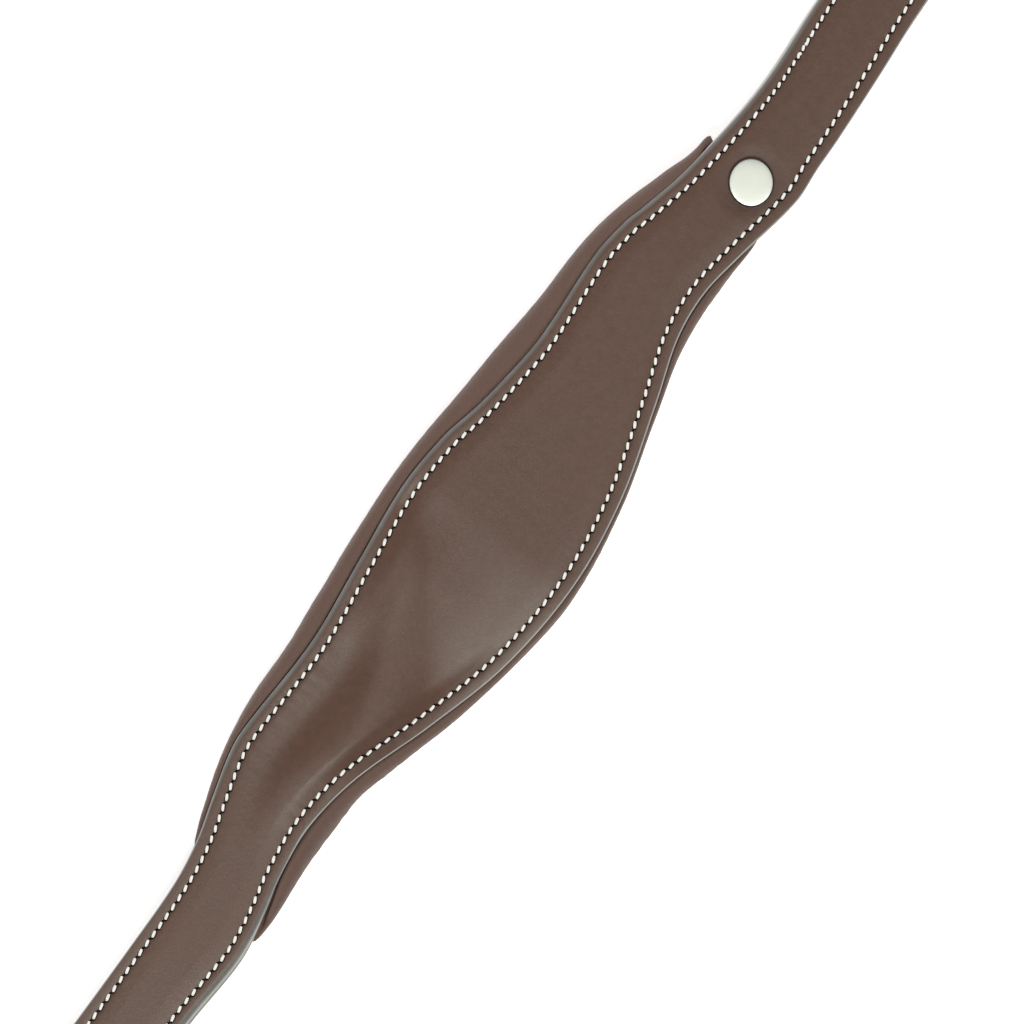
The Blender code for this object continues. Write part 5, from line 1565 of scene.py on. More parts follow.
def seam_lines(lay, edges, start, end, margin, level, relief):
    """Stitch lines on both of a strap's faces: along both sides of a run, and across its ends."""
    seams = side_seams(edges, spread(start, end, max(round((end - start) / COARSE_STEP), 2)), margin)
    for along in (start, end):
        low, high = edges(along)
        seams.append([(along, across) for across in spread(low + margin, high - margin, 6)])
    return [
        surface_line(lay, edges, facing * level, relief, spots, facing)
        for spots in seams for facing in (1.0, -1.0)
    ]


def folded_strap(
        name, body, lay, length, eyes, widths, node, narrow=False, spacing=STRAP_STEP, seam_back=0.0):
    """Strap folded round an eye at each end and sewn to itself in between; gives its leather."""
    margin = halter().stitch.margin * (NARROW_MARGIN if narrow else 1.0)
    edges = even_edges(length, *widths)
    run = (SEWN_FROM_FOLD, length - SEWN_FROM_FOLD - seam_back)
    relief = sewn_relief(*run, margin)
    path = even_path(link_path(length, *eyes), spacing, closed=True)
    bm = strap_skin(path, lay, edges, LAYER, relief, closed=True)
    piece = finish_piece(name + "_leather", bm, body, "bridle_leather", node)
    lines = seam_lines(lay, edges, *run, margin, HALF_GAP + LAYER / 2, relief)
    stitching(name + "_stitching", body, lines)
    return piece


def ring_eye(hollow, stretch=0.0):
    """Eye of a strap's layer round a hollow."""
    return eye_path(hollow + LAYER / 2, HALF_GAP, stretch)


def make_cheek(side):
    """Cheek strap between a lower and an upper ring."""
    lower, upper = (OFF_LOWER, OFF_UPPER) if side == "off" else (NEAR_LOWER, NEAR_UPPER)
    lay = straight_lay((lower.x, lower.y + RING_REACH, RING_LEVEL), 90.0)
    length = (upper - lower).y - 2 * RING_REACH
    eyes = (ring_eye(RING_HOLLOW), ring_eye(RING_HOLLOW))
    widths = (RING_FOLD_WIDTH, STRAP_WIDTH, RING_FOLD_WIDTH)
    folded_strap(side + "_cheek", side + "_cheek", lay, length, eyes, widths, side + "_cheek_strap")


# Hardware

def ring_piece(name, body, centre, mean, wire, node):
    """Round welded ring lying flat."""
    steps = halter().hardware.ring_turns
    bm = bmesh.new()
    cent = Vector((centre.x, centre.y, RING_LEVEL))
    stand = Matrix.Translation((centre.x + mean, centre.y, RING_LEVEL))
    stand = stand @ Matrix.Rotation(math.pi / 2, 4, "X")
    bmesh.ops.create_circle(bm, segments=TUBE_SIDES, radius=wire, matrix=stand)
    bmesh.ops.spin(
        bm, geom=bm.verts[:] + bm.edges[:], cent=cent, axis=(0, 0, 1), angle=math.tau, steps=steps,
        use_merge=True)
    bmesh.ops.recalc_face_normals(bm, faces=bm.faces)
    return finish_piece(name, bm, body, "nickel_plate", node)


def rod_skin(points, radii, up, closed=False, sides=TUBE_SIDES):
    """Skin of a rod along points; radii gives (half width, half height) at a point's number."""
    up = Vector(up)
    last = len(points) - 1
    sections = []
    for point, heading in zip(points, headings(points, closed)):
        side = heading.cross(up).normalized()
        sections.append((point, side, side.cross(heading)))

    def place(column, row):
        point, side, rise = sections[column]
        wide, high = radii(column)
        turn = math.tau * (row % sides) / sides
        spot = point + side * (wide * math.cos(turn)) + rise * (high * math.sin(turn))
        return spot, 0.0, (column / last, row / sides)

    return skin(last, sides, place, closed)


def rounded_rectangle(half_wide, half_high, corner, corner_steps=7):
    """Closed outline of a rectangle with round corners, turning right, ending where it starts."""
    points = []
    for quarter in range(4):
        x, y = ((1, -1), (-1, -1), (-1, 1), (1, 1))[quarter]
        for turn in spread(-90.0 * quarter, -90.0 * (quarter + 1), corner_steps):
            turn = math.radians(turn)
            points.append(Vector((
                x * (half_wide - corner) + corner * math.cos(turn),
                y * (half_high - corner) + corner * math.sin(turn),
            )))
    return points


def buckle_frame(name, body, lay, bar_at, reach, strap_width, stack, node):
    """Heel-bar buckle: its bar lies in the chape's fold and its far end arches over the billet."""
    half_wide = strap_width / 2 + BUCKLE_SIDE_PLAY + BUCKLE_WIRE
    rise = BILLET_LEVEL + stack + CLEAR + BUCKLE_WIRE
    slant = math.hypot(reach, rise)
    along_share, up_share = reach / slant, rise / slant
    outline = even_path(
        rounded_rectangle(half_wide, slant / 2, BUCKLE_CORNER), METAL_STEP, closed=True)
    points = []
    for across, run in outline:
        run += slant / 2
        points.append(lay(bar_at + run * along_share, run * up_share, across))
    plane = lay(-up_share, along_share, 0.0) - lay(0.0, 0.0, 0.0)
    bm = rod_skin(points, lambda i: (BUCKLE_WIRE, BUCKLE_WIRE), plane, closed=True, sides=16)
    return finish_piece(name, bm, body, "nickel_plate", node)


def buckle_tongue(name, body, lay, bar_at, reach, stack, node):
    """Buckle tongue: wrapped round the bar, up through the billet's hole, resting on the far bar."""
    wrap = BAR_HOLLOW + TONGUE_THICKNESS / 2
    top = BILLET_LEVEL + stack + CLEAR + 2 * BUCKLE_WIRE + CLEAR + TONGUE_THICKNESS / 2
    under, over = BILLET_LEVEL, BILLET_LEVEL + stack
    path = []
    for turn in spread(math.radians(TONGUE_WRAP_FROM), math.tau, 20):
        path.append((wrap * math.cos(turn), wrap * math.sin(turn)))
    for low, high, rise in (
        (0.0, under, TONGUE_UNDER), (under, over, TONGUE_THROUGH), (over, top, TONGUE_OVER),
    ):
        path += [(wrap * (1.0 + lean), mix(low, high, share)) for lean, share in rise]
    tip = reach + TONGUE_PAST_BAR
    path += between(path[-1], (tip, top), 4)
    path.append((tip, top))
    path = even_path([(bar_at + along, up) for along, up in path], TONGUE_STEP)

    def edges(along):
        to_tip = bar_at + tip - along
        share = math.sqrt(max(1.0 - (1.0 - min(to_tip / TONGUE_TIP_RUN, 1.0)) ** 2, 0.04))
        return -TONGUE_WIDTH / 2 * share, TONGUE_WIDTH / 2 * share

    bm = strap_skin(
        path, lay, edges, TONGUE_THICKNESS, flat_relief, corners=even_corners(TONGUE_EDGE), inner_rows=1)
    return finish_piece(name, bm, body, "nickel_plate", node)


# Keepers and chapes

def keeper(name, body, lay, at, strap_width, stack, node):
    """Leather loop round a chape and the billet above it, creased along both edges."""
    bottom = -HALF_GAP - LAYER / 2 - CLEAR - STITCH_ROOM - KEEPER_THICKNESS / 2
    top = BILLET_LEVEL + stack + CLEAR + STITCH_ROOM + KEEPER_THICKNESS / 2
    half_wide = strap_width / 2 + KEEPER_SIDE_PLAY + KEEPER_THICKNESS / 2
    half_high = (top - bottom) / 2
    outline = rounded_rectangle(half_wide, half_high, KEEPER_CORNER + KEEPER_THICKNESS / 2)
    path = even_path(outline, METAL_STEP, closed=True)

    def loop_lay(across, up, along):
        return lay(at + along, up + (top + bottom) / 2, across)

    def edges(across):
        return -KEEPER_LENGTH / 2, KEEPER_LENGTH / 2

    def relief(across, along, low, high):
        inside = min(along - low, high - along) - KEEPER_CREASE_FROM_EDGE
        return -KEEPER_CREASE_DEPTH * math.exp(-(inside / KEEPER_CREASE_HALF) ** 2)

    bm = strap_skin(
        path, loop_lay, edges, KEEPER_THICKNESS, relief, closed=True, corners=even_corners(KEEPER_EDGE))
    return finish_piece(name, bm, body, "bridle_leather", node)


def cut_away(piece, cutters):
    """Cut shapes out of a piece for good."""
    mesh = to_mesh("cutter", cutters)
    tool = add_object("cutter", mesh)
    modifier = piece.modifiers.new("cut", "BOOLEAN")
    modifier.operation = "DIFFERENCE"
    modifier.solver = "EXACT"
    modifier.object = tool
    bpy.context.view_layer.update()
    cut_mesh = bpy.data.meshes.new_from_object(piece.evaluated_get(bpy.context.evaluated_depsgraph_get()))
    piece.modifiers.clear()
    before = piece.data
    piece.data = cut_mesh
    bpy.data.meshes.remove(before)
    bpy.data.objects.remove(tool)
    bpy.data.meshes.remove(mesh)


def new_cutter():
    """Empty cutter, with a layer that paints its cuts like edges."""
    bm = bmesh.new()
    bm.loops.layers.uv.new("strap")
    return bm, bm.verts.layers.float.new("edge")


def punch(bm, edge, lay, places, low, high, length, width):
    """Add cutters for a row of punched oblong holes at (along, across) places."""
    for along, across in places:
        ring = bmesh.ops.create_circle(bm, cap_ends=True, segments=24, radius=width / 2)["verts"]
        for vert in ring:
            vert.co.x += math.copysign((length - width) / 2, vert.co.x)
        base = next(iter(ring[0].link_faces))
        top = [item for item in bmesh.ops.extrude_face_region(bm, geom=[base])["geom"]
               if isinstance(item, bmesh.types.BMVert)]
        for verts, up in ((ring, low), (top, high)):
            for vert in verts:
                vert.co = lay(along + vert.co.x, up, across + vert.co.y)
                vert[edge] = 1.0
    bmesh.ops.recalc_face_normals(bm, faces=bm.faces)


def chape(name, body, lay, length, hollow, ring_width, strap_width, narrow=False):
    """Short strap folded round a ring and round a buckle's bar, slotted for the tongue."""
    bar_width = strap_width - 2 * (BUCKLE_CORNER - BUCKLE_SIDE_PLAY - BUCKLE_WIRE) - 4 * CLEAR
    eyes = (ring_eye(hollow), ring_eye(BAR_HOLLOW))
    widths = (ring_width, strap_width, min(bar_width, strap_width))
    piece = folded_strap(name, body, lay, length, eyes, widths, name, narrow, FINE_STEP)
    reach = BAR_HOLLOW + LAYER + TONGUE_THICKNESS
    bm, edge = new_cutter()
    for vert in bmesh.ops.create_cube(bm, size=2.0)["verts"]:
        along, across, up = vert.co
        vert.co = lay(length + along * reach, up * reach, across * TONGUE_SLOT / 2)
        vert[edge] = 1.0
    bmesh.ops.recalc_face_normals(bm, faces=bm.faces)
    cut_away(piece, bm)


def buckle_set(
        side, holder, frame_body, lay, length, hollow, fold, width, stack, reach, loose_at, narrow=False):
    """Chape, frame, tongue and two keepers."""
    chape(side + "_chape", holder, lay, length, hollow, fold, width, narrow)
    buckle_frame(side + "_buckle", frame_body, lay, length, reach, width, stack, side + "_buckle_frame")
    buckle_tongue(
        side + "_tongue_bar", side + "_tongue", lay, length, reach, stack, side + "_buckle_tongue")
    for piece, body, at, node in (
        ("_fixed_loop", holder, FIXED_KEEPER_AT, "_fixed_keeper"),
        ("_sliding_loop", side + "_keeper", loose_at, "_loose_keeper"),
    ):
        keeper(side + piece, body, lay, length - at, width, stack, side + node)


# Noseband

def arch_lay():
    """Lay along the noseband's arch, from the off ring over the nose to the near ring."""
    off_end = polar(OFF_LOWER, SIDE_REACH, NOSE_ANGLE)
    half_span = CHIN_RING.x - off_end.x
    rise = math.sqrt(max(2 * (NOSEBAND_LENGTH / math.pi) ** 2 - half_span ** 2, 0.0))
    turns = spread(0.0, math.pi, ARCH_STEPS + 1)

    def place(turn):
        return Vector((
            CHIN_RING.x - half_span * math.cos(turn),
            off_end.y - NOSEBAND_LEAN * math.sin(turn) ** 2,
            RING_LEVEL + rise * math.sin(turn),
        ))

    lengths = walk([place(turn) for turn in turns])
    total = lengths[-1]

    def lay(along, up, across):
        inside = min(max(along, 0.0), total)
        index = min(max(bisect_left(lengths, inside) - 1, 0), ARCH_STEPS - 1)
        share = (inside - lengths[index]) / (lengths[index + 1] - lengths[index])
        turn = mix(turns[index], turns[index + 1], share)
        heading = Vector((
            half_span * math.sin(turn),
            -NOSEBAND_LEAN * math.sin(2.0 * turn),
            rise * math.cos(turn),
        )).normalized()
        side = Vector((0, 1, 0))
        side = (side - heading * side.dot(heading)).normalized()
        to_end = min(inside, total - inside)
        twist = math.radians(NOSE_ANGLE) * (1.0 - smooth(to_end / NOSEBAND_TWIST_RUN))
        side = Matrix.Rotation(twist, 3, heading) @ side
        out = heading.cross(side)
        return place(turn) + heading * (along - inside) + out * up + side * across

    return lay, total


def make_noseband():
    """Noseband strap folded round both lower rings, with its pad inside the arch."""
    margin = halter().stitch.margin
    lay, total = arch_lay()
    eye = ring_eye(SIDE_HOLLOW)
    start = [(NOSEBAND_TURN_BACK, -HALF_GAP)] + between((NOSEBAND_TURN_BACK, -HALF_GAP), eye[0], 3) + eye
    end = [(total - along, up) for along, up in start[::-1]]
    points = start + between(start[-1], end[0], 24) + end

    def edges(along):
        to_end = min(along, total - along)
        width = mix(SIDE_FOLD_WIDTH, STRAP_WIDTH, smooth(to_end / FOLD_TAPER))
        bulge = smooth((to_end - NOSEBAND_TURN_BACK) / (total / 2 - NOSEBAND_TURN_BACK))
        width = mix(width, NOSEBAND_MIDDLE_WIDTH, bulge)
        return -width / 2, width / 2

    run = (SEWN_FROM_FOLD, total - SEWN_FROM_FOLD)
    relief = sewn_relief(*run, margin)
    path = even_path(points, NOSEBAND_STEP)
    bm = strap_skin(path, lay, edges, LAYER, relief, inner_rows=NOSEBAND_INNER_ROWS)
    finish_piece("noseband_leather", bm, "nose_loop", "bridle_leather", "noseband_strap")
    alongs = spread(*run, round(total / COARSE_STEP))
    seams = side_seams(edges, alongs, margin)
    lines = [surface_line(lay, edges, HALF_GAP + LAYER / 2, relief, spots) for spots in seams]
    stitching("noseband_stitching", "nose_loop", lines)

    def pad_sides(along):
        to_end = min(along, total - along) - NOSE_PAD_FROM
        bulge = smooth(to_end / (total / 2 - NOSE_PAD_FROM))
        half = mix(NOSE_PAD_END_WIDTH, NOSE_PAD_MIDDLE_WIDTH, bulge) / 2
        return -half, half

    def pad_lay(along, up, across):
        return lay(along, up - CLEAR / 2, across)

    span = (NOSE_PAD_FROM, total - NOSE_PAD_FROM)
    bm = pad_skin(
        pad_lay, span, pad_sides, edges, NOSE_PAD_DEPTH, NOSE_PAD_ENDS, NOSE_PAD_STEP, NOSE_LIP)
    pad = finish_piece(
        "noseband_pad", bm, "nose_loop", "pad_leather", "noseband_pad_cover", "noseband_pad_foam")


# Chin, jaw and throat

def make_chin():
    """Off chin strap, and the near side's buckle set with the billet that comes to it."""
    origin = polar(OFF_LOWER, SIDE_REACH, CHIN_ANGLE)
    eyes = (ring_eye(SIDE_HOLLOW), ring_eye(CHIN_HOLLOW))
    widths = (SIDE_FOLD_WIDTH, CHIN_WIDTH, SIDE_FOLD_WIDTH)
    lay = straight_lay(origin, CHIN_ANGLE)
    folded_strap("off_chin", "nose_loop", lay, CHIN_RUN, eyes, widths, "off_chin_strap", narrow=True)
    heading = 180.0 - CHIN_ANGLE
    near_lay = straight_lay(polar(NEAR_LOWER, SIDE_REACH, heading), heading)
    buckle_set(
        "chin", "nose_loop", "nose_loop", near_lay, CHIN_CHAPE, SIDE_HOLLOW, SIDE_FOLD_WIDTH, CHIN_WIDTH,
        CHIN_BILLET, CHIN_BUCKLE_REACH, CHIN_LOOSE_KEEPER_AT, narrow=True)
    back = heading - 180.0
    make_chin_billet(straight_lay(polar(CHIN_RING, CHIN_REACH, back), back))


def make_chin_billet(lay):
    """Billet from the chin ring up to the chin buckle."""
    level = BILLET_LEVEL + CHIN_BILLET / 2
    start = (CHIN_TURN_BACK, -HALF_GAP)
    path = [start] + between(start, (CHIN_EYE_FROM, -HALF_GAP), 2)
    path += ring_eye(CHIN_HOLLOW)[:-1]
    for share in spread(0.0, 1.0, 9):
        along = mix(CHIN_BILLET_RISE_FROM, CHIN_BILLET_RISE_TO, share)
        path.append((along, mix(HALF_GAP, level, smooth(share))))
    bar_from_chin = CHIN_RUN - CHIN_CHAPE
    tip = bar_from_chin + CHIN_TAIL
    path += between(path[-1], (tip - TIP_LENGTH, level), 5)
    path += [(tip - step, level) for step in (TIP_LENGTH, *reversed(TIP_STEPS))]
    fine = even_path(path, FINE_STEP)
    fine = [spot for spot in fine if spot.x < tip - TIP_LENGTH or spot.y < 0]
    fine += [Vector((tip - step, level)) for step in (TIP_LENGTH, *reversed(TIP_STEPS))]

    def edges(along):
        half = mix(SIDE_FOLD_WIDTH, CHIN_WIDTH, smooth(along / FOLD_TAPER)) / 2
        if tip - along < TIP_LENGTH:
            half = tip_width(tip - along, CHIN_WIDTH)
        return -half, half

    margin = halter().stitch.margin * NARROW_MARGIN
    relief = sewn_relief(CHIN_BILLET_RISE_TO, tip - margin, margin)
    bm = strap_skin(fine, lay, edges, CHIN_BILLET, relief)
    piece = finish_piece("chin_billet_leather", bm, "nose_loop", "bridle_leather", "chin_billet")
    first = bar_from_chin - HOLE_FROM_BAR
    places = [(first + i * CHIN_HOLE_PITCH, 0.0) for i in range(CHIN_HOLE_COUNT)]
    bm, edge = new_cutter()
    punch(bm, edge, lay, places, level - CHIN_BILLET, level + CHIN_BILLET, HOLE_LENGTH, HOLE_WIDTH)
    cut_away(piece, bm)
    inner = tip - margin
    alongs = [mix(CHIN_BILLET_RISE_TO, inner - TIP_LENGTH, share) for share in spread(0.0, 1.0, 24)]
    alongs += [inner - step for step in reversed(TIP_STEPS)]
    spots = []
    for along in alongs:
        half = edges(along)[1] - margin
        if inner - along < TIP_LENGTH:
            half = tip_width(inner - along, CHIN_WIDTH - 2 * margin)
        spots.append((along, half))
    spots += [(along, -half) for along, half in reversed(spots)]
    line = surface_line(lay, edges, level + CHIN_BILLET / 2, relief, spots)
    stitching("chin_billet_stitching", "nose_loop", [line])


# A solid's folds are half rings of 8 flat sides, whose flats lie nearer the middle than their corners
FACET_SHARE = math.cos(math.pi / 16)


def jaw_lay(origin):
    """Lay of the jaw strap, which rises a little to its loop."""
    rise = max((THROAT_RADIUS + THROAT_PLAY_UP + LAYER) / FACET_SHARE + SLOPE_PLAY - RING_LEVEL, 0.0)
    return straight_lay(origin, 90.0, math.degrees(math.asin(rise / JAW_LENGTH)))


def make_jaw():
    """Jaw strap from the chin ring to the loop that the throat strap runs through."""
    lay = jaw_lay(polar(CHIN_RING, CHIN_REACH, 90.0))
    eyes = (ring_eye(CHIN_HOLLOW), ring_eye(THROAT_RADIUS + THROAT_PLAY_UP, THROAT_PLAY_ALONG))
    widths = (SIDE_FOLD_WIDTH, JAW_WIDTH, SIDE_FOLD_WIDTH)
    folded_strap(
        "jaw", "jaw", lay, JAW_LENGTH, eyes, widths, "jaw_strap", narrow=True, seam_back=JAW_SEAM_BACK)
    return lay(JAW_LENGTH, 0.0, 0.0)


def tab(name, lay, hollow, node):
    """Leather tab folded round a wire, with the throat strap's flat end between its layers."""
    half_gap = THROAT_FLAT / 2 + CLEAR + TAB_LAYER / 2
    eye = eye_path(hollow + TAB_LAYER / 2, half_gap)
    tail = between((TAB_LENGTH, -half_gap), eye[0], 5)
    path = [(TAB_LENGTH, -half_gap)] + tail + eye + [(along, -up) for along, up in reversed(tail)]
    path.append((TAB_LENGTH, half_gap))

    def edges(along):
        return -TAB_WIDTH / 2, TAB_WIDTH / 2

    margin = halter().stitch.margin * NARROW_MARGIN * TAB_MARGIN_SHARE
    run = (TAB_SEAM_FROM, TAB_LENGTH - TAB_SEAM_BACK)
    relief = sewn_relief(*run, margin)
    fine = even_path(path, FINE_STEP)
    bm = strap_skin(fine, lay, edges, TAB_LAYER, relief, corners=even_corners(TAB_EDGE))
    finish_piece(name, bm, "off_cheek", "bridle_leather", node)
    return seam_lines(lay, edges, *run, margin, half_gap + TAB_LAYER / 2, relief)


def make_throat(loop_centre):
    """Rolled throat strap with a folded tab at each end."""
    def bends(places, drop):
        for x, y in places:
            height = mix(loop_centre.z, RING_LEVEL, smooth(y / drop))
            yield Vector((loop_centre.x + x, loop_centre.y + y, height))

    off_lay = straight_lay(polar(OFF_UPPER, SIDE_REACH, THROAT_ANGLE), THROAT_ANGLE)
    snap_lay = straight_lay(joint_at("snap_hinge"), -90.0)
    off_hollow = ring_hollow(RING_MEAN, RING_WIRE, TAB_WIDTH)
    lines = tab("throat_ring_leather", off_lay, off_hollow, "throat_ring_tab")
    lines += tab("throat_snap_leather", snap_lay, SNAP_WIRE + CLEAR, "throat_snap_tab")
    route = [off_lay(along, 0.0, 0.0) for along in (TAB_START, TAB_LENGTH, TAB_LENGTH + THROAT_RADIUS)]
    route += [*bends(THROAT_BEND_OFF, THROAT_DROP_OFF), loop_centre]
    route += bends(THROAT_BEND_NEAR, THROAT_DROP_NEAR)
    route += [snap_lay(along, 0.0, 0.0) for along in (TAB_LENGTH + THROAT_RADIUS, TAB_LENGTH, TAB_START)]
    points = even_path(route, THROAT_STEP)
    walked = walk(points)
    flat_run = TAB_LENGTH - TAB_START + THROAT_FLAT_PAST

    def radii(i):
        to_end = min(walked[i], walked[-1] - walked[i])
        share = smooth((to_end - flat_run) / THROAT_ROUND_RUN)
        wide = mix(TAB_WIDTH / 2 - THROAT_INSET, THROAT_RADIUS, share)
        return wide, mix(THROAT_FLAT / 2, THROAT_RADIUS, share)

    bm = rod_skin(points, radii, (0, 0, 1), sides=28)
    finish_piece("throat_roll", bm, "off_cheek", "bridle_leather", "throat_strap")
    stitching("throat_stitching", "off_cheek", lines)


SPRING_WIRE = 0.0004
SPRING_TURNS = 5
SPRING_TURN_STEPS = 20
SPRING_SIDES = 10
SPRING_END_CLOSING = 0.4


def make_snap_spring():
    """Coil spring behind the snap's bolt; its end turns lie closer."""
    low, high = (Vector(corner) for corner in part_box("snap_spring"))
    centre = (low + high) / 2
    radius = (high.x - low.x) / 2 - SPRING_WIRE
    length = high.y - low.y - 2 * SPRING_WIRE
    steps = SPRING_TURNS * SPRING_TURN_STEPS
    points = []
    for i in range(steps + 1):
        share = i / steps
        turn = math.tau * SPRING_TURNS * share
        along = low.y + SPRING_WIRE + length * mix(share, smooth(share), SPRING_END_CLOSING)
        points.append(Vector((
            centre.x + radius * math.cos(turn), along, centre.z + radius * math.sin(turn))))
    bm = rod_skin(
        points, lambda i: (SPRING_WIRE, SPRING_WIRE), (0.0, 1.0, 0.0), sides=SPRING_SIDES)
    spring = finish_piece("snap_coil", bm, "snap_barrel", "spring_steel", "snap_spring")
    travel = joint_named("snap_bolt_slide")["range_m"][1]
    keep = (high.y - low.y - travel) / (high.y - low.y)
    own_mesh(spring)


def finish_small_hardware():
    """Plating on the snap and the stud's washer, whose solids are shown as they are."""
    for node, finish in (
        ("snap_eye", "nickel_plate"), ("snap_body", "nickel_plate"), ("snap_bolt", "nickel_plate"),
        ("stud_washer", "satin_nickel"),
    ):
        solid = frame["nodes"][node]
        solid.data.materials.clear()
        solid.data.materials.append(Finishes.get(finish))


# Stage

LIGHT_DISTANCE = 4.0
KEY_FROM_TOP = math.radians(23.0)
FILL_FROM_TOP = math.radians(66.0)
KEY_SIZE = (1.35, 0.89)
KEY_TINT = (0.96, 1.0, 0.90)
FILL_SIZE = (4.0, 3.1)
FLOOR_HALF = 6.0
FLOOR_BELOW = 0.0002
VIEW_OFFSET = (0.0030, 0.0100, 0.0)


def add_light(name, place, target, size, power, colour=(1.0, 1.0, 1.0)):
    """Soft box that faces a target."""
    data = bpy.data.lights.new(name, "AREA")
    data.shape = "RECTANGLE"
    data.size, data.size_y = size
    data.energy = power
    data.color = colour
    light = add_object(name, data)
    light.location = place
    light.rotation_mode = "QUATERNION"
    light.rotation_quaternion = (Vector(target) - Vector(place)).to_track_quat("-Z", "Y")


def make_stage():
    """Floor, soft light and the camera straight above the crown."""
    scene = bpy.context.scene
    stage = scene.halter.stage
    bm = bmesh.new()
    bmesh.ops.create_grid(bm, x_segments=2, y_segments=2, size=FLOOR_HALF)
    mesh = to_mesh("floor", bm)
    mesh.materials.append(Finishes.get("floor"))
    floor = add_object("floor", mesh)
    floor.location.z = -FLOOR_BELOW

    world = bpy.data.worlds.new("studio")
    world.use_nodes = True
    world.node_tree.nodes["Background"].inputs["Color"].default_value = (1.0, 1.0, 1.0, 1.0)
    world.node_tree.nodes["Background"].inputs["Strength"].default_value = stage.sky
    scene.world = world
    scene.view_settings.view_transform = "Standard"

    target = CROWN_MIDDLE
    down_image = Vector((math.sin(stage.turn), -math.cos(stage.turn), 0.0))
    key_way = down_image * math.sin(KEY_FROM_TOP) + Vector((0.0, 0.0, math.cos(KEY_FROM_TOP)))
    add_light("key", target + key_way * LIGHT_DISTANCE, target, KEY_SIZE, stage.key, KEY_TINT)
    fill_way = Vector((0.0, 0.0, math.cos(FILL_FROM_TOP))) - down_image * math.sin(FILL_FROM_TOP)
    add_light("fill", target + fill_way * LIGHT_DISTANCE, target, FILL_SIZE, stage.fill)

    camera_data = bpy.data.cameras.new("camera")
    camera_data.lens = stage.lens
    camera_data.clip_start = 0.01
    camera = add_object("camera", camera_data)
    half_angle = math.atan(camera_data.sensor_width / 2 / stage.lens)
    height = CROWN_FACE + stage.span / 2 / math.tan(half_angle)
    view_middle = CROWN_MIDDLE + Vector(VIEW_OFFSET)
    camera.location = (view_middle.x, view_middle.y, height)
    camera.rotation_euler = (0.0, 0.0, stage.turn)
    scene.camera = camera


# Operators

class HALTER_OT_stage(bpy.types.Operator):
    """Make the floor, the light and the camera"""
    bl_idname = "halter.stage"
    bl_label = "Stage"

    def execute(self, context):
        make_stage()
        return {"FINISHED"}


class HALTER_OT_crown_leather(bpy.types.Operator):
    """Make the crown's top leather and lining"""
    bl_idname = "halter.crown_leather"
    bl_label = "Crown leather"

    def execute(self, context):
        crown_layer(
            "crown_face", 0.0, CROWN_LINING + CLEAR, CROWN_TOP, FINE_STEP, crown_relief, crown_corners,
            "bridle_leather", "crown_top_leather")
        crown_layer(
            "crown_under", LINING_INSET, 0.0, CROWN_LINING, COARSE_STEP, flat_relief,
            even_corners(LINING_CORNER), "lining_leather", "crown_lining")
        return {"FINISHED"}


class HALTER_OT_crown_stitching(bpy.types.Operator):
    """Sew the crown"""
    bl_idname = "halter.crown_stitching"
    bl_label = "Crown stitching"

    def execute(self, context):
        make_crown_stitching()
        return {"FINISHED"}


class HALTER_OT_crown_pad(bpy.types.Operator):
    """Make the soft pad under the crown"""
    bl_idname = "halter.crown_pad"
    bl_label = "Crown pad"

    def execute(self, context):
        make_crown_pad()
        return {"FINISHED"}


class HALTER_OT_stud(bpy.types.Operator):
    """Make the stud on the crown"""
    bl_idname = "halter.stud"
    bl_label = "Stud"

    def execute(self, context):
        make_stud()
        return {"FINISHED"}


class HALTER_OT_rings(bpy.types.Operator):
    """Make the five rings"""
    bl_idname = "halter.rings"
    bl_label = "Rings"

    def execute(self, context):
        for name, body, centre in (
            ("off_lower", "nose_loop", OFF_LOWER), ("near_lower", "nose_loop", NEAR_LOWER),
            ("chin", "nose_loop", CHIN_RING), ("off_upper", "off_cheek", OFF_UPPER),
            ("near_upper", "near_ring", NEAR_UPPER),
        ):
            size = (CHIN_RING_MEAN, CHIN_RING_WIRE) if name == "chin" else (RING_MEAN, RING_WIRE)
            ring_piece(name + "_round", body, centre, *size, name + "_ring")
        return {"FINISHED"}


class HALTER_OT_noseband(bpy.types.Operator):
    """Make the noseband with its pad and stitching"""
    bl_idname = "halter.noseband"
    bl_label = "Noseband"

    def execute(self, context):
        make_noseband()
        return {"FINISHED"}


class HALTER_OT_cheeks(bpy.types.Operator):
    """Make both cheek straps"""
    bl_idname = "halter.cheeks"
    bl_label = "Cheek straps"

    def execute(self, context):
        make_cheek("off")
        make_cheek("near")
        return {"FINISHED"}


class HALTER_OT_chin(bpy.types.Operator):
    """Make the chin straps with their buckle"""
    bl_idname = "halter.chin"
    bl_label = "Chin straps"

    def execute(self, context):
        make_chin()
        return {"FINISHED"}


class HALTER_OT_jaw_and_throat(bpy.types.Operator):
    """Make the jaw strap and the rolled throat strap that runs through its loop"""
    bl_idname = "halter.jaw_and_throat"
    bl_label = "Jaw and throat"

    def execute(self, context):
        make_throat(make_jaw())
        return {"FINISHED"}


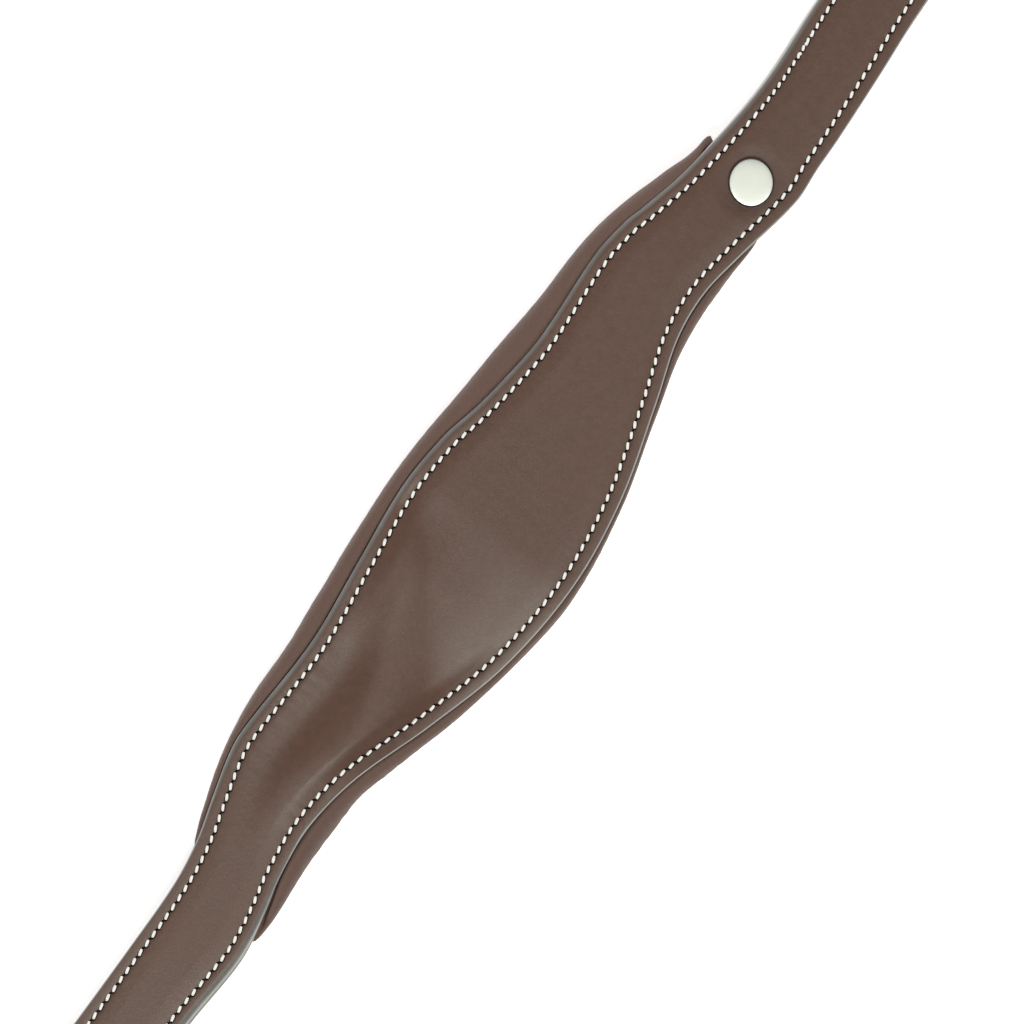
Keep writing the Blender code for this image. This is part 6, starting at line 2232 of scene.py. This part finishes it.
class HALTER_OT_crown_buckles(bpy.types.Operator):
    """Make both crown buckles with their chapes and keepers"""
    bl_idname = "halter.crown_buckles"
    bl_label = "Crown buckles"

    def execute(self, context):
        for side, ring, holder, frame_body in (
            ("off", OFF_UPPER, "crown", "crown"), ("near", NEAR_UPPER, "near_chape", "near_frame"),
        ):
            lay = straight_lay((ring.x, ring.y + RING_REACH, RING_LEVEL), 90.0)
            buckle_set(
                side, holder, frame_body, lay, CROWN_CHAPE, RING_HOLLOW, RING_FOLD_WIDTH, STRAP_WIDTH,
                CROWN_STACK, CROWN_BUCKLE_REACH, CROWN_LOOSE_KEEPER_AT)
        return {"FINISHED"}


class HALTER_OT_small_hardware(bpy.types.Operator):
    """Plate the snap, its spring and the stud's washer"""
    bl_idname = "halter.small_hardware"
    bl_label = "Small hardware"

    def execute(self, context):
        make_snap_spring()
        finish_small_hardware()
        return {"FINISHED"}


OPERATORS = (
    HALTER_OT_stage, HALTER_OT_crown_leather, HALTER_OT_crown_stitching, HALTER_OT_crown_pad,
    HALTER_OT_stud, HALTER_OT_rings, HALTER_OT_noseband, HALTER_OT_cheeks, HALTER_OT_chin,
    HALTER_OT_jaw_and_throat, HALTER_OT_crown_buckles, HALTER_OT_small_hardware,
)


class HALTER_PT_panel(bpy.types.Panel):
    """Makes the halter's pieces and shows their settings"""
    bl_label = "Halter"
    bl_idname = "HALTER_PT_panel"
    bl_space_type = "VIEW_3D"
    bl_region_type = "UI"
    bl_category = "Halter"

    def draw(self, context):
        settings = context.scene.halter
        for operator in OPERATORS:
            self.layout.operator(operator.bl_idname)
        for part in ("leather", "stitch", "shape", "hardware", "stage"):
            group = getattr(settings, part)
            box = self.layout.box()
            for name in group.bl_rna.properties.keys():
                if name not in ("rna_type", "name"):
                    box.prop(group, name)


GROUPS = (LeatherSettings, StitchSettings, ShapeSettings, HardwareSettings, StageSettings, HalterSettings)


def register():
    """Register the settings, operators and panel."""
    for group in (*GROUPS, *OPERATORS, HALTER_PT_panel):
        bpy.utils.register_class(group)
    bpy.types.Scene.halter = PointerProperty(type=HalterSettings)


def unregister():
    """Take the settings, operators and panel away again."""
    del bpy.types.Scene.halter
    for group in reversed((*GROUPS, *OPERATORS, HALTER_PT_panel)):
        bpy.utils.unregister_class(group)


def main():
    """Make the halter piece by piece."""
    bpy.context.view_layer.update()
    register()
    for operator in OPERATORS:
        group, name = operator.bl_idname.split(".")
        getattr(getattr(bpy.ops, group), name)()


if __name__ == "__main__":
    main()
